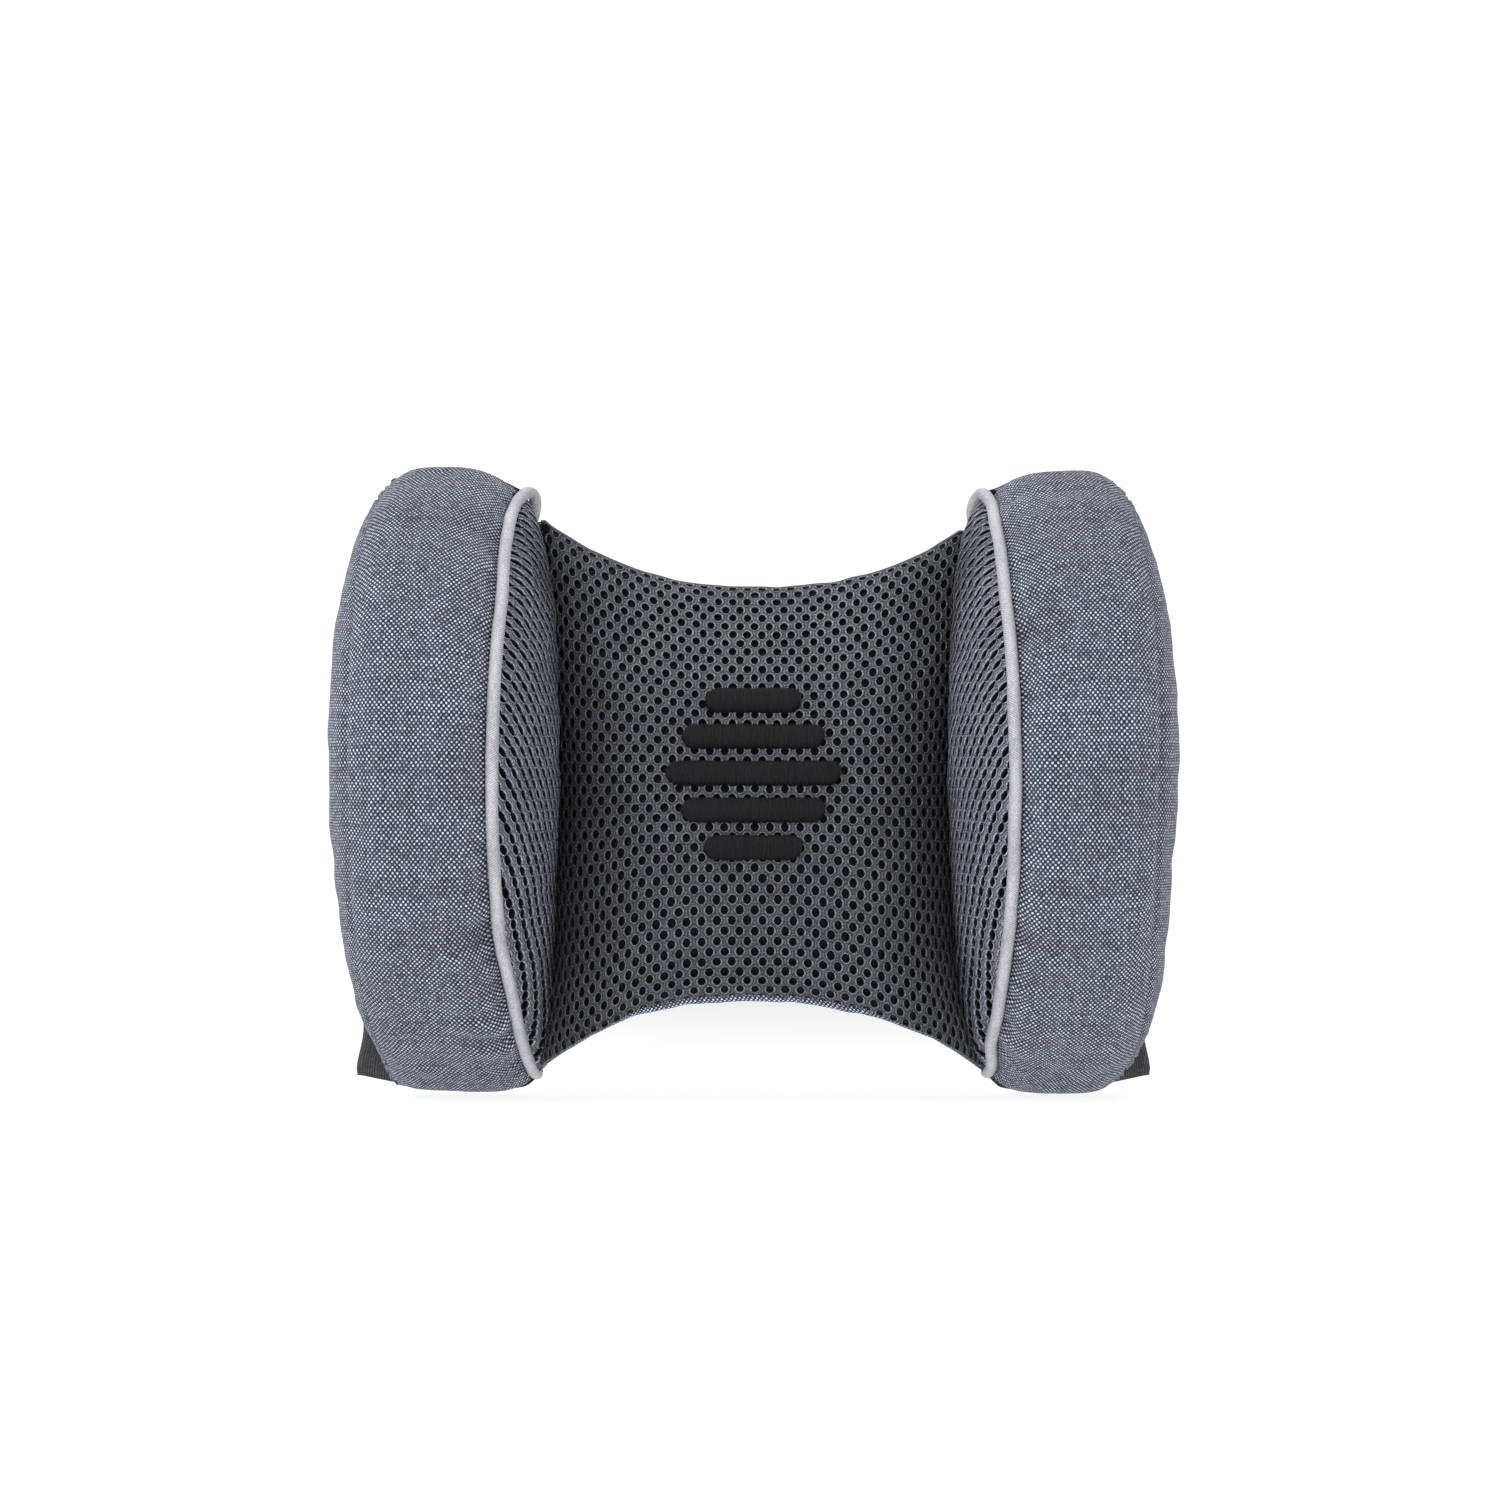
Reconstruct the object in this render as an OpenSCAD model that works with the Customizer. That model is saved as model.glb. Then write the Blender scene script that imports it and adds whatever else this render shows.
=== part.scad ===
// Lumbar support cushion with two deep side bolsters, a bulged centre pad,
// a zipped back panel and an elastic strap with a side-release buckle.
// Seen from the front, +X is right and Z is up. +Y points at the chair back.
// The origin is the middle of the flat back plane, y = 0; the cushion's body lies at -Y.

/* [Side bolsters] */
// Height of a bolster, end to end over its crowned band
bolster_h = 236; // [226:2:246]
// Depth of a bolster, from the back plane to the crown of its band
bolster_d = 98; // [94:1:104]
// Width of the woven band that runs round a bolster
band_w = 51; // [48:1:56]
// Outward spread of the bolsters from the back plane to their front seams
front_spread = 11.3; // [8:0.1:13]
// Crown of the band between its two seams
band_crown = 6; // [4:0.5:7]
// Puff of the inner mesh face towards the middle
inner_puff = 16.5; // [12:0.1:18.5]
// Puff of the outer face
outer_puff = 11; // [8:0.5:14]

/* [Centre pad] */
// Distance between the two inner seams at the back plane
seam_gap = 168; // [168:1:178]
// Greatest depth of the lumbar bulge
pad_d = 66; // [56:1:70]
// Height of the pad's top edge at the middle
pad_top = 73; // [68:1:78]
// Drop of the pad's front bottom seam at the middle
pad_bottom = 81; // [76:1:84]
// Extra rise of the top edge towards the bolsters
top_flare = 18.8; // [12:0.2:20]
// Extra drop of the bottom edge towards the bolsters
bottom_flare = 20; // [12:0.2:21]
// Depth of the pad at its bottom seam
bottom_d = 56; // [40:1:60]
// Depth of the pad at its top edge
top_d = 9; // [8.5:0.5:12]

/* [Cover] */
// Thickness of the spacer mesh
mesh_t = 3; // [2:0.5:3]
// Thickness of the woven cloth and its lining
cloth_t = 1.6; // [1.2:0.1:1.6]
// Diameter of the piping cord
piping_d = 4.6; // [3.6:0.2:4.8]

/* [Embroidery] */
// Width of the longest embroidered bar
motif_w = 64; // [40:1:66]
// Height of one embroidered bar
bar_h = 9; // [6:0.5:9.5]
// Distance between neighbouring bars
bar_pitch = 13.5; // [12:0.5:14]
// Height of the motif's middle
motif_z = 1; // [-4:1:6]
// Rise of the raised stitching over the mesh
stitch_rise = 1.8; // [1:0.1:2.4]

/* [Strap] */
// Width of the elastic webbing
strap_w = 39; // [32:1:40]
// Thickness of the elastic webbing
strap_t = 1.4; // [1.2:0.1:1.4]
// Height of the strap's middle line at its outer folds
fold_z = -96; // [-96:1:-80]
// Extra drop of the middle line from a fold to its sewn root
root_drop = 3.3; // [0:0.1:4]
// Reach of the strap's outer folds past the bolster seams
fold_reach = 18.3; // [12:0.1:20]

/* [Buckle] */
// Height of the buckle's middle line
buckle_z = -58.5; // [-62:0.5:-55]
// Half width of the buckle across the strap
buckle_hw = 23; // [23:0.5:25]
// Position of the socket's strap bar
socket_bar_x = -34; // [-36:1:-33]
// Position of the plug's strap bar
plug_bar_x = 30; // [30:1:31]
// Position of the strap adjuster
adjuster_x = 70; // [60:1:72]

/* [Zip] */
// Height of the zip's centre line
zip_z = 25; // [15:1:35]
// Half length of the zip chain
zip_half = 66; // [56:1:66]
// Position of the slider when the zip is shut
slider_x = -59; // [-59:1:-50]

/* [Hidden] */
$fn = 32;

inner_x = seam_gap / 2;             // inner seam at the back plane
outer_x = inner_x + band_w;         // outer seam at the back plane
seam_h = bolster_h / 2 - band_crown; // half height of the seam curves
seam_d = bolster_d - band_crown;    // depth of the seam curves
lift = 2;                           // front pieces start this far off the back plane
foam_gap = 0.5;                     // clearance between foam and cover
PLASTIC = [0.08, 0.08, 0.09];       // colour of buckle and adjuster

// ---------- general solids ----------

function sum(list) = list * [for (item = list) 1];
function flipped(list) = [for (i = [len(list) - 1 : -1 : 0]) list[i]];

// Closed solid from points and triangles, turned the right way out.
module closed(pts, tris) {
    volume = sum([for (tri = tris) pts[tri[0]] * cross(pts[tri[1]], pts[tri[2]])]);
    polyhedron(points = pts, faces = volume > 0 ? [for (tri = tris) flipped(tri)] : tris);
}

// Two triangles for a quad, leaving out any that share a corner.
function quad(a, b, c, d) =
    concat(a == b || b == c ? [] : [[a, b, c]], c == d || d == a ? [] : [[a, c, d]]);

// Curved panel between an outer grid and an inner grid of points.
module sheet(outer, inner) {
    cols = len(outer[0]);
    row_end = len(outer) - 1;
    col_end = cols - 1;
    // Point numbers in the outer and the inner grid.
    function out(i, j) = i * cols + j;
    function in(i, j) = len(outer) * cols + out(i, j);
    closed(
        concat([for (row = outer) each row], [for (row = inner) each row]),
        concat(
            [for (i = [0 : row_end - 1], j = [0 : col_end - 1])
                each quad(out(i, j), out(i, j + 1), out(i + 1, j + 1), out(i + 1, j))],
            [for (i = [0 : row_end - 1], j = [0 : col_end - 1])
                each quad(in(i, j), in(i + 1, j), in(i + 1, j + 1), in(i, j + 1))],
            [for (j = [0 : col_end - 1])
                each quad(out(0, j), in(0, j), in(0, j + 1), out(0, j + 1))],
            [for (j = [0 : col_end - 1])
                each quad(out(row_end, j), out(row_end, j + 1),
                          in(row_end, j + 1), in(row_end, j))],
            [for (i = [0 : row_end - 1])
                each quad(out(i, 0), out(i + 1, 0), in(i + 1, 0), in(i, 0))],
            [for (i = [0 : row_end - 1])
                each quad(out(i, col_end), in(i, col_end),
                          in(i + 1, col_end), out(i + 1, col_end))]
        )
    );
}

// Solid skinned over a row of closed rings. Each end is capped by strips that
// join point k to point (size - step - k).
module loft(rings, step) {
    size = len(rings[0]);
    last = (len(rings) - 1) * size;
    closed(
        [for (ring = rings) each ring],
        concat(
            [for (i = [0 : len(rings) - 2], j = [0 : size - 1])
                let (k = (j + 1) % size, low = i * size, high = low + size)
                each quad(low + j, low + k, high + k, high + j)],
            [for (k = [0 : size / 2 - 1])
                let (far = (size - step - k) % size, next = size - step - k - 1)
                if (k + 1 <= next) each quad(k, far, next, k + 1)],
            [for (k = [0 : size / 2 - 1])
                let (far = (size - step - k) % size, next = size - step - k - 1)
                if (k + 1 <= next) each quad(last + k, last + k + 1, last + next, last + far)]
        )
    );
}

// Rounded rectangle centred on the origin.
module round_rect(w, h, r) {
    square([w - 2 * r, h], center = true);
    square([w, h - 2 * r], center = true);
    for (x = [-1, 1], y = [-1, 1])
        translate([x * (w / 2 - r), y * (h / 2 - r)]) circle(r);
}

// Plate parallel to the back plane, between two Y values, from a 2D outline in X and Z.
module plate_y(front, back) {
    translate([0, back, 0]) rotate([90, 0, 0]) linear_extrude(back - front) children();
}

// ---------- bolster surfaces, right-hand side ----------
// "angle" runs up the bolster from -90 at its foot to 90 at its top, "depth" is -Y,
// "across" is the distance from the inner seam, and "inset" is measured into the bolster.

side_edge = 2.6;        // side faces end this far under the seams
foam_crown_gap = 0.6;   // extra inset of the foam under the band
foam_outer_gap = 0.9;   // extra inset of the foam under the outer face
band_edge = 0.4;        // the band stops this far short of each seam
panel_edge = 0.2;       // so do the back panels
band_end = 85.5;        // end angles of the band, side faces and piping
side_end = 80;
piping_end = 84;
piping_out = 0.3;       // the cord's middle line lies this far outside the seam
BAND_ANGLES = [for (i = [0 : 20]) -band_end + i * band_end / 10];
SIDE_ANGLES = [for (i = [0 : 16]) -side_end + i * side_end / 8];
SIXTHS = [for (i = [0 : 6]) i / 6];

function lean(depth) = front_spread * sqrt(max(0, depth) / seam_d);
function leaned(x, depth, z) = [x + lean(depth), -depth, z];
function outline_depth(reach, angle) = reach * pow(cos(angle), 1.5);
function crown(across) = band_crown * (1 - pow(2 * across / band_w - 1, 2));

function band_pt(across, angle, inset) =
    let (rise = crown(across) - inset)
    leaned(inner_x + across, outline_depth(seam_d + rise, angle), (seam_h + rise) * sin(angle));

// Side faces, where "part" goes from 0 at the back to 1 at the front seam.
function side_depth(part, angle) =
    lift + part * (outline_depth(seam_d - side_edge, angle) - lift);
function side_z(angle) = (seam_h - side_edge) * sin(angle);
// The exponents place the fullest point of a puff and set how sharply it swells.
function puff_in(part) = pow(max(0, sin(180 * pow(part, 1.15))), 1.3);
function puff_out(part) = pow(max(0, sin(180 * pow(part, 0.95))), 0.9);
function fade(angle) = pow(cos(angle), 0.6);

function inner_pt(part, angle, inset) =
    leaned(inner_x + inset - inner_puff * puff_in(part) * fade(angle),
           side_depth(part, angle), side_z(angle));
function outer_pt(part, angle, inset) =
    leaned(outer_x - inset + outer_puff * puff_out(part) * fade(angle),
           side_depth(part, angle), side_z(angle));

module bolster_band() {
    function grid(inset) = [for (angle = BAND_ANGLES) [for (part = SIXTHS)
        band_pt(band_edge + part * (band_w - 2 * band_edge), angle, inset)]];
    sheet(grid(0), grid(cloth_t));
}

module inner_face() {
    function grid(inset) =
        [for (angle = SIDE_ANGLES) [for (part = SIXTHS) inner_pt(part, angle, inset)]];
    sheet(grid(0), grid(mesh_t));
}

module outer_face() {
    function grid(inset) =
        [for (angle = SIDE_ANGLES) [for (part = SIXTHS) outer_pt(part, angle, inset)]];
    sheet(grid(0), grid(cloth_t));
}

// Foam wedge: out along the inner face, over the crown, back along the outer face.
module bolster_foam() {
    inner_inset = mesh_t + foam_gap;
    outer_inset = cloth_t + foam_gap + foam_outer_gap;
    crown_inset = side_edge + foam_crown_gap;
    function crown_pt(part, angle) =
        let (across = inner_inset + part * (band_w - inner_inset - outer_inset),
             rise = crown(across))
        leaned(inner_x + across, outline_depth(seam_d + rise - crown_inset, angle),
               (seam_h + rise * 0.6 - crown_inset) * sin(angle));
    loft([for (angle = SIDE_ANGLES) concat(
        [for (part = SIXTHS) inner_pt(part, angle, inner_inset)],
        [for (k = [1 : 4]) crown_pt(k / 5, angle)],
        [for (part = flipped(SIXTHS)) outer_pt(part, angle, outer_inset)]
    )], 1);
}

module bolster_back() {
    steps = 12;
    acrosses = [for (i = [0 : steps]) panel_edge + i / steps * (band_w - 2 * panel_edge)];
    plate_y(-cloth_t, 0)
        polygon(concat(
            [for (across = acrosses) [inner_x + across, -(seam_h + crown(across))]],
            [for (across = flipped(acrosses)) [inner_x + across, seam_h + crown(across)]]
        ));
}

// Cord sewn into the inner front seam.
module bolster_piping() {
    r = piping_d / 2;
    steps = 28;
    cord_h = seam_h + piping_out;
    cord_d = seam_d + piping_out;
    loft([for (i = [0 : steps])
        let (angle = -piping_end + 2 * piping_end * i / steps,
             depth = outline_depth(cord_d, angle),
             // Slopes of depth and height, which give the normal of the seam curve.
             depth_slope = -1.5 * cord_d * sqrt(cos(angle)) * sin(angle),
             z_slope = cord_h * cos(angle),
             slope = norm([depth_slope, z_slope]))
        [for (k = [0 : 7])
            let (turned = k * 45 + 22.5, out = r * sin(turned) / slope)
            [inner_x - r + r * cos(turned) + lean(depth),
             -(depth + out * z_slope),
             cord_h * sin(angle) - out * depth_slope]]
    ], 1);
}

// ---------- centre pad surface ----------
// "part" goes from 0 at the bottom seam to 1 at the top edge.

pad_x = inner_x - 5;    // half width of the pad at its base
flare_x = pad_x - 7;    // the flares reach their full value here
pad_n = 3.5;            // squareness of the pad's cross-section
shoulder_d = pad_d * 0.395; // depth where the profile turns down to the top edge
PAD_PROFILE = [         // [part, depth]
    [0.00, bottom_d],
    [0.05, bottom_d + (pad_d - bottom_d) * 0.48],
    [0.12, bottom_d + (pad_d - bottom_d) * 0.80],
    [0.23, pad_d],
    [0.32, pad_d * 0.965],
    [0.42, pad_d * 0.885],
    [0.75, pad_d * 0.500],
    [0.83, shoulder_d],
    [0.91, top_d + (shoulder_d - top_d) * 0.55],
    [1.00, top_d]
];

function flare(x) = pow(abs(x) / flare_x, 2.4);
function top_z(x, inset) = pad_top - inset + top_flare * flare(x);
function bottom_z(x, inset) = -pad_bottom + inset - bottom_flare * flare(x);
function pad_depth(part) = lookup(part, PAD_PROFILE);
// 1 at the middle of the pad, 0 at its sides.
function pad_full(x) = sqrt(max(0, 1 - pow(min(1, abs(x) / pad_x), pad_n)));

// Point of the pad's face; the angle goes from 180 at the left to 0 at the right.
function pad_pt(angle, part, inset) =
    let (c = cos(angle),
         x = (pad_x - inset) * sign(c) * pow(abs(c), 2 / pad_n),
         low = bottom_z(x, inset))
    [x,
     -(lift + (pad_depth(part) - inset - lift) * sin(angle)),
     low + part * (top_z(x, inset) - low)];

// Depth of the pad's face at a point given by X and Z.
function face_depth(x, z) =
    let (low = bottom_z(x, 0), part = (z - low) / (top_z(x, 0) - low))
    lift + (pad_depth(part) - lift) * pad_full(x);

PAD_ROWS = [0, 0.05, 0.12, 0.18, 0.23, 0.32, 0.42, 0.50, 0.58, 0.66, 0.75, 0.83, 0.91, 1];
PAD_COLS = [for (i = [0 : 16]) 180 - i * 11.25];
// Edge pieces share the pad's own columns, apart from the outermost ones.
EDGE_XS = [for (i = [1 : 15]) pad_pt(PAD_COLS[i], 1, 0)[0]];

module center_foam() {
    inset = mesh_t + foam_gap;
    recess_x = zip_half + 10;
    recess_z = 16;
    recess_d = 4.6;
    color("gold") difference() {
        loft([for (part = PAD_ROWS)
            let (front = [for (angle = PAD_COLS) pad_pt(angle, part, inset)])
            concat(front, [for (i = [15 : -1 : 1]) [front[i][0], -lift, front[i][2]]])
        ], 0);
        // Recess in the back of the foam for the zip.
        translate([-recess_x, -recess_d, zip_z - recess_z])
            cube([2 * recess_x, recess_d, 2 * recess_z]);
    }
}

module center_front_mesh() {
    function grid(inset) =
        [for (part = PAD_ROWS) [for (angle = PAD_COLS) pad_pt(angle, part, inset)]];
    color("dimgray") sheet(grid(0), grid(mesh_t));
}

// Woven band that closes the underside of the pad, from the back to the bottom seam.
module center_bottom_band() {
    sag = 3;
    seam_clear = 0.8;
    function grid(drop) = [for (part = [0 : 0.2 : 1]) [for (x = EDGE_XS)
        [x,
         -(lift + 0.2 + part * ((bottom_d - lift) * pad_full(x) - 1)),
         bottom_z(x, 0) - seam_clear - drop - sag * sin(180 * part)]]];
    color("slategray") sheet(grid(cloth_t), grid(0));
}

// Tape that binds the pad's top edge.
module center_top_binding() {
    binding_t = 1.2;
    edge_clear = 0.6;
    function grid(rise) = [for (part = [0, 1]) [for (x = EDGE_XS)
        [x,
         -(lift + part * (top_d - lift) * max(0.2, pad_full(x))),
         top_z(x, 0) + edge_clear + rise]]];
    color("slategray") sheet(grid(binding_t), grid(0));
}

module center_back_panel() {
    half_w = inner_x - panel_edge;
    steps = 20;
    xs = [for (i = [0 : steps]) half_w * (2 * i / steps - 1)];
    color("slategray") plate_y(-cloth_t, 0) difference() {
        polygon(concat(
            [for (x = xs) [x, bottom_z(min(abs(x), pad_x), 0) - 3]],
            [for (x = flipped(xs)) [x, top_z(min(abs(x), pad_x), 0) + 0.5]]
        ));
        // Zip opening.
        translate([0, zip_z]) round_rect(2 * zip_half + 10, 10.4, 2);
    }
}

// ---------- embroidery ----------

stitch_base = 0.6;  // underside of the stitching, off the mesh
BAR_WIDTHS = [0.56, 0.82, 1, 0.82, 0.56]; // parts of motif_w, from the bottom up

// Round-ended, padded satin-stitch bar laid over the pad's face.
module satin_bar(half_w, mid_z) {
    r = bar_h / 2;
    straight = half_w - r;
    xs = [
        for (angle = [90 : -30 : 0]) -straight - r * sin(angle),
        for (i = [1 : 5]) straight * (i / 3 - 1),
        for (angle = [0 : 30 : 90]) straight + r * sin(angle)
    ];
    // Half height of the bar at x; its tips stay a little open.
    function half_h(x) = max(0.25, sqrt(max(0, r * r - pow(max(0, abs(x) - straight), 2))));
    function grid(rise) = [for (up = [-1, -0.6, 0, 0.6, 1]) [for (x = xs)
        let (z = mid_z + up * half_h(x))
        [x, -(face_depth(x, z) + stitch_base + rise * (1 - 0.5 * up * up)), z]]];
    sheet(grid(stitch_rise), grid(0));
}

// Five stacked bars, longest in the middle.
module front_embroidery() {
    color("black") for (i = [0 : 4])
        satin_bar(motif_w * BAR_WIDTHS[i] / 2, motif_z + (i - 2) * bar_pitch);
}

// ---------- bolster pieces ----------

module right_bolster_foam() { color("gold") bolster_foam(); }
module left_bolster_foam() { color("gold") mirror([1, 0, 0]) bolster_foam(); }
module right_band() { color("lightslategray") bolster_band(); }
module left_band() { color("lightslategray") mirror([1, 0, 0]) bolster_band(); }
module right_inner_mesh() { color("gray") inner_face(); }
module left_inner_mesh() { color("gray") mirror([1, 0, 0]) inner_face(); }
module right_outer_panel() { color("lightslategray") outer_face(); }
module left_outer_panel() { color("lightslategray") mirror([1, 0, 0]) outer_face(); }
module right_back_panel() { color("slategray") bolster_back(); }
module left_back_panel() { color("slategray") mirror([1, 0, 0]) bolster_back(); }
module right_piping() { color("lavender") bolster_piping(); }
module left_piping() { color("lavender") mirror([1, 0, 0]) bolster_piping(); }

// ---------- strap ----------

strap_y = 4.3;      // middle of the webbing just inside its fold
root_y = 1;         // middle of the webbing at its sewn root
buckle_y = 6;       // mid thickness of the buckle
wrap_r = 2.4;       // radius of the strap's middle line round a bar
level_run = 4;      // length that stays level next to a bar
ease = 16;          // length over which the strap then turns towards its fold
fold_r = (strap_y - root_y) / 2;
fold_x = outer_x + fold_reach - fold_r - strap_t / 2;

// Arc of points round a centre, between two angles.
function arc(centre, r, from, to, steps) = [for (i = [0 : steps])
    let (angle = from + (to - from) * i / steps)
    centre + r * [cos(angle), sin(angle)]];

function unit(v) = v / norm(v);
// Direction of a path at point i.
function heading(path, i) = unit(
    i == 0 ? path[1] - path[0]
    : i == len(path) - 1 ? path[i] - path[i - 1]
    : unit(path[i] - path[i - 1]) + unit(path[i + 1] - path[i]));

// Middle line of a strap half that leaves its bar level, then runs down to its fold.
function strap_slope(bar_x) = (fold_z - buckle_z) / (fold_x - bar_x - level_run - ease / 2);
function strap_z(x, bar_x) =
    let (run = x - bar_x - level_run)
    run <= 0 ? buckle_z
    : buckle_z + strap_slope(bar_x) * (run < ease ? run * run / (2 * ease) : run - ease / 2);

// Webbing of width strap_w that follows a path of [x, y, middle height].
module webbing(path) {
    flat = [for (p = path) [p[0], p[1]]];
    normals = [for (i = [0 : len(path) - 1]) let (along = heading(flat, i)) [-along[1], along[0], 0]];
    function grid(offset) = [for (edge = [-1, 1]) [for (i = [0 : len(path) - 1])
        path[i] + normals[i] * offset + [0, 0, edge * strap_w / 2]]];
    sheet(grid(strap_t / 2), grid(-strap_t / 2));
}

// Right-hand strap half: root, fold, run in to the bar, turn, and tail out to tail_x.
// The run moves back from strap_y to the bar's level between low_x and high_x.
module strap_half(bar_x, high_x, low_x, tail_x) {
    run_y = buckle_y + wrap_r;
    tail_y = buckle_y - wrap_r;
    ease_xs = [for (i = [0 : 4]) bar_x + level_run + i * ease / 4];
    RUN = [[low_x, strap_y], [low_x - 3, strap_y + 0.5], [high_x + 3, run_y - 0.5], [high_x, run_y]];
    webbing(concat(
        [[outer_x + 0.7, root_y, fold_z - root_drop]],
        [for (p = arc([fold_x, root_y + fold_r], fold_r, -90, 90, 10)) [p[0], p[1], fold_z]],
        [for (p = RUN) [p[0], p[1], strap_z(p[0], bar_x)]],
        [for (x = flipped(ease_xs)) [x, run_y, strap_z(x, bar_x)]],
        [for (p = arc([bar_x, buckle_y], wrap_r, 90, 270, 12)) [p[0], p[1], buckle_z]],
        [for (x = ease_xs) [x, tail_y, strap_z(x, bar_x)]],
        [[tail_x, tail_y, strap_z(tail_x, bar_x)]]
    ));
}

module strap_left() {
    color("darkslategray") mirror([1, 0, 0])
        strap_half(bar_x = -socket_bar_x, high_x = 64, low_x = 80, tail_x = 66);
}

module strap_right() {
    color("darkslategray")
        strap_half(bar_x = plug_bar_x, high_x = 104, low_x = 118, tail_x = 100);
}

// Two upright bar tacks on the back of each strap root.
module strap_tacks() {
    tack_y = root_y + strap_t / 2 + 0.05;
    tack_z = fold_z - root_drop - strap_w / 2 + 4;
    color("black") for (side = [0, 1]) mirror([side, 0, 0])
        for (shift = [0, 2.6])
            translate([outer_x + 1.4 + shift, tack_y, tack_z]) cube([1.2, 0.4, strap_w - 7]);
}

// ---------- buckle and adjuster ----------

buckle_wall = 2.4;  // width of the socket's side walls and of the bar lugs

// Outline in X and Z round the buckle's middle line, between two Y offsets from its middle.
module buckle_plate(front, back) {
    translate([0, 0, buckle_z]) plate_y(buckle_y + front, buckle_y + back) children();
}

// Strap bar at bar_x between two lugs, whose middles are at lug_x.
module bar_mount(bar_x, lug_x) {
    for (side = [-1, 1])
        buckle_plate(-1.8, 1.8)
            translate([lug_x, side * (buckle_hw - buckle_wall / 2)]) round_rect(12, buckle_wall, 1);
    translate([bar_x, buckle_y, buckle_z - buckle_hw + 1])
        cylinder(h = 2 * buckle_hw - 2, r = 1.5);
}

module buckle_socket() {
    body_x = socket_bar_x + 23;
    body_len = 34;
    color(PLASTIC) difference() {
        union() {
            buckle_plate(-3.8, 3.8) translate([body_x, 0]) round_rect(body_len, 2 * buckle_hw, 5);
            bar_mount(socket_bar_x, socket_bar_x + 3);
        }
        // Cavity for the plug, open towards +X.
        buckle_plate(-2.2, 2.2) translate([body_x + 3, 0])
            square([body_len, 2 * (buckle_hw - buckle_wall)], center = true);
        // Side windows over the prongs.
        for (side = [-1, 1])
            buckle_plate(-2.6, 2.6) translate([body_x - 1, side * buckle_hw]) round_rect(13, 10, 2);
        // Shallow dish in the back (+Y) face.
        buckle_plate(3.2, 4.2) translate([body_x, 0]) round_rect(16, 18, 5);
    }
}

module buckle_plug() {
    tip_x = plug_bar_x - 50;
    base_x = plug_bar_x - 23.6;     // where the prongs leave the shoulder
    mid_x = (tip_x + base_x) / 2;
    reach = base_x - tip_x;
    shoulder_len = 15.6;
    color(PLASTIC) difference() {
        union() {
            buckle_plate(-3.4, 3.4)
                translate([base_x + shoulder_len / 2, 0]) round_rect(shoulder_len, 2 * buckle_hw, 2);
            bar_mount(plug_bar_x, plug_bar_x - 3);
            // Middle tongue, then the two prongs with their wider heads.
            buckle_plate(-1.5, 1.5) translate([mid_x + 1, 0]) round_rect(reach + 2, 9, 2);
            for (side = [-1, 1]) {
                buckle_plate(-1.7, 1.7)
                    translate([mid_x + 3, side * 15.8]) round_rect(reach - 2, 4.4, 1.5);
                buckle_plate(-1.7, 1.7)
                    translate([tip_x + 8, side * 16.6]) round_rect(12, 6.6, 2.5);
            }
        }
        // Grooves across the back (+Y) face of the shoulder.
        for (i = [0 : 3])
            buckle_plate(3.0, 3.8) translate([base_x + 3.6 + i * 2.8, 0]) round_rect(1.2, 30, 0.5);
    }
}

// Three-bar slide: the strap's run lies behind the middle bar and in front of the end bars.
module strap_adjuster() {
    tilt = -atan(strap_slope(plug_bar_x));
    run_y = buckle_y + wrap_r;
    side_h = strap_w / 2 + 2;   // from the middle line to a side rail
    color(PLASTIC)
        translate([adjuster_x, 0, strap_z(adjuster_x, plug_bar_x)]) rotate([0, tilt, 0]) {
            for (side = [-1, 1])
                plate_y(buckle_y - 1.2, run_y + 2.5)
                    translate([0, side * side_h]) round_rect(24, 2.8, 1.2);
            translate([0, buckle_y, -side_h]) cylinder(h = 2 * side_h, r = 1.2);
            for (x = [-10.4, 10.4])
                translate([x, run_y + 1.8, -side_h]) cylinder(h = 2 * side_h, r = 0.8);
        }
}

// ---------- zip ----------

tape_near = 0.8;    // from the centre line to the near edge of tape and teeth
tape_w = 13.2;
tooth_pitch = 2.4;
tooth_w = 1.6;
tooth_h = 2;
tooth_d = 2.1;
teeth_y = -1.7;     // front of the teeth and stops
spine_h = 1.2;      // height and depth of the strip that joins the teeth
teeth_far = tape_near + tooth_h;
pull_y = 3.3;       // Y of the pull's pin

// Lower edge of a part on the upper (1) or lower (-1) side of the zip's centre line.
function zip_low(side, near, height) = zip_z + (side > 0 ? near : -near - height);

module zipper_tape(side) {
    translate([-zip_half - 6, -2.5, zip_low(side, tape_near, tape_w)])
        cube([2 * zip_half + 12, 0.7, tape_w]);
}

module zipper_teeth(side) {
    last = floor(2 * zip_half / tooth_pitch) - 1;
    start_x = -last * tooth_pitch / 2 - tooth_w / 2;
    for (i = [0 : last])
        translate([start_x + i * tooth_pitch, teeth_y, zip_low(side, tape_near, tooth_h)])
            cube([tooth_w, tooth_d, tooth_h]);
    translate([start_x, teeth_y, zip_low(side, teeth_far - spine_h, spine_h)])
        cube([last * tooth_pitch + tooth_w, spine_h, spine_h]);
}

module zipper_tape_upper() { color("dimgray") zipper_tape(1); }
module zipper_tape_lower() { color("dimgray") zipper_tape(-1); }
module zipper_teeth_upper() { color("gray") zipper_teeth(1); }
module zipper_teeth_lower() { color("gray") zipper_teeth(-1); }

module zipper_stops() {
    stop_w = 2.4;
    color("silver") for (side = [-1, 1])
        translate([side * (zip_half + 2.6) - stop_w / 2, teeth_y, zip_z - teeth_far])
            cube([stop_w, tooth_d, 2 * teeth_far]);
}

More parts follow.
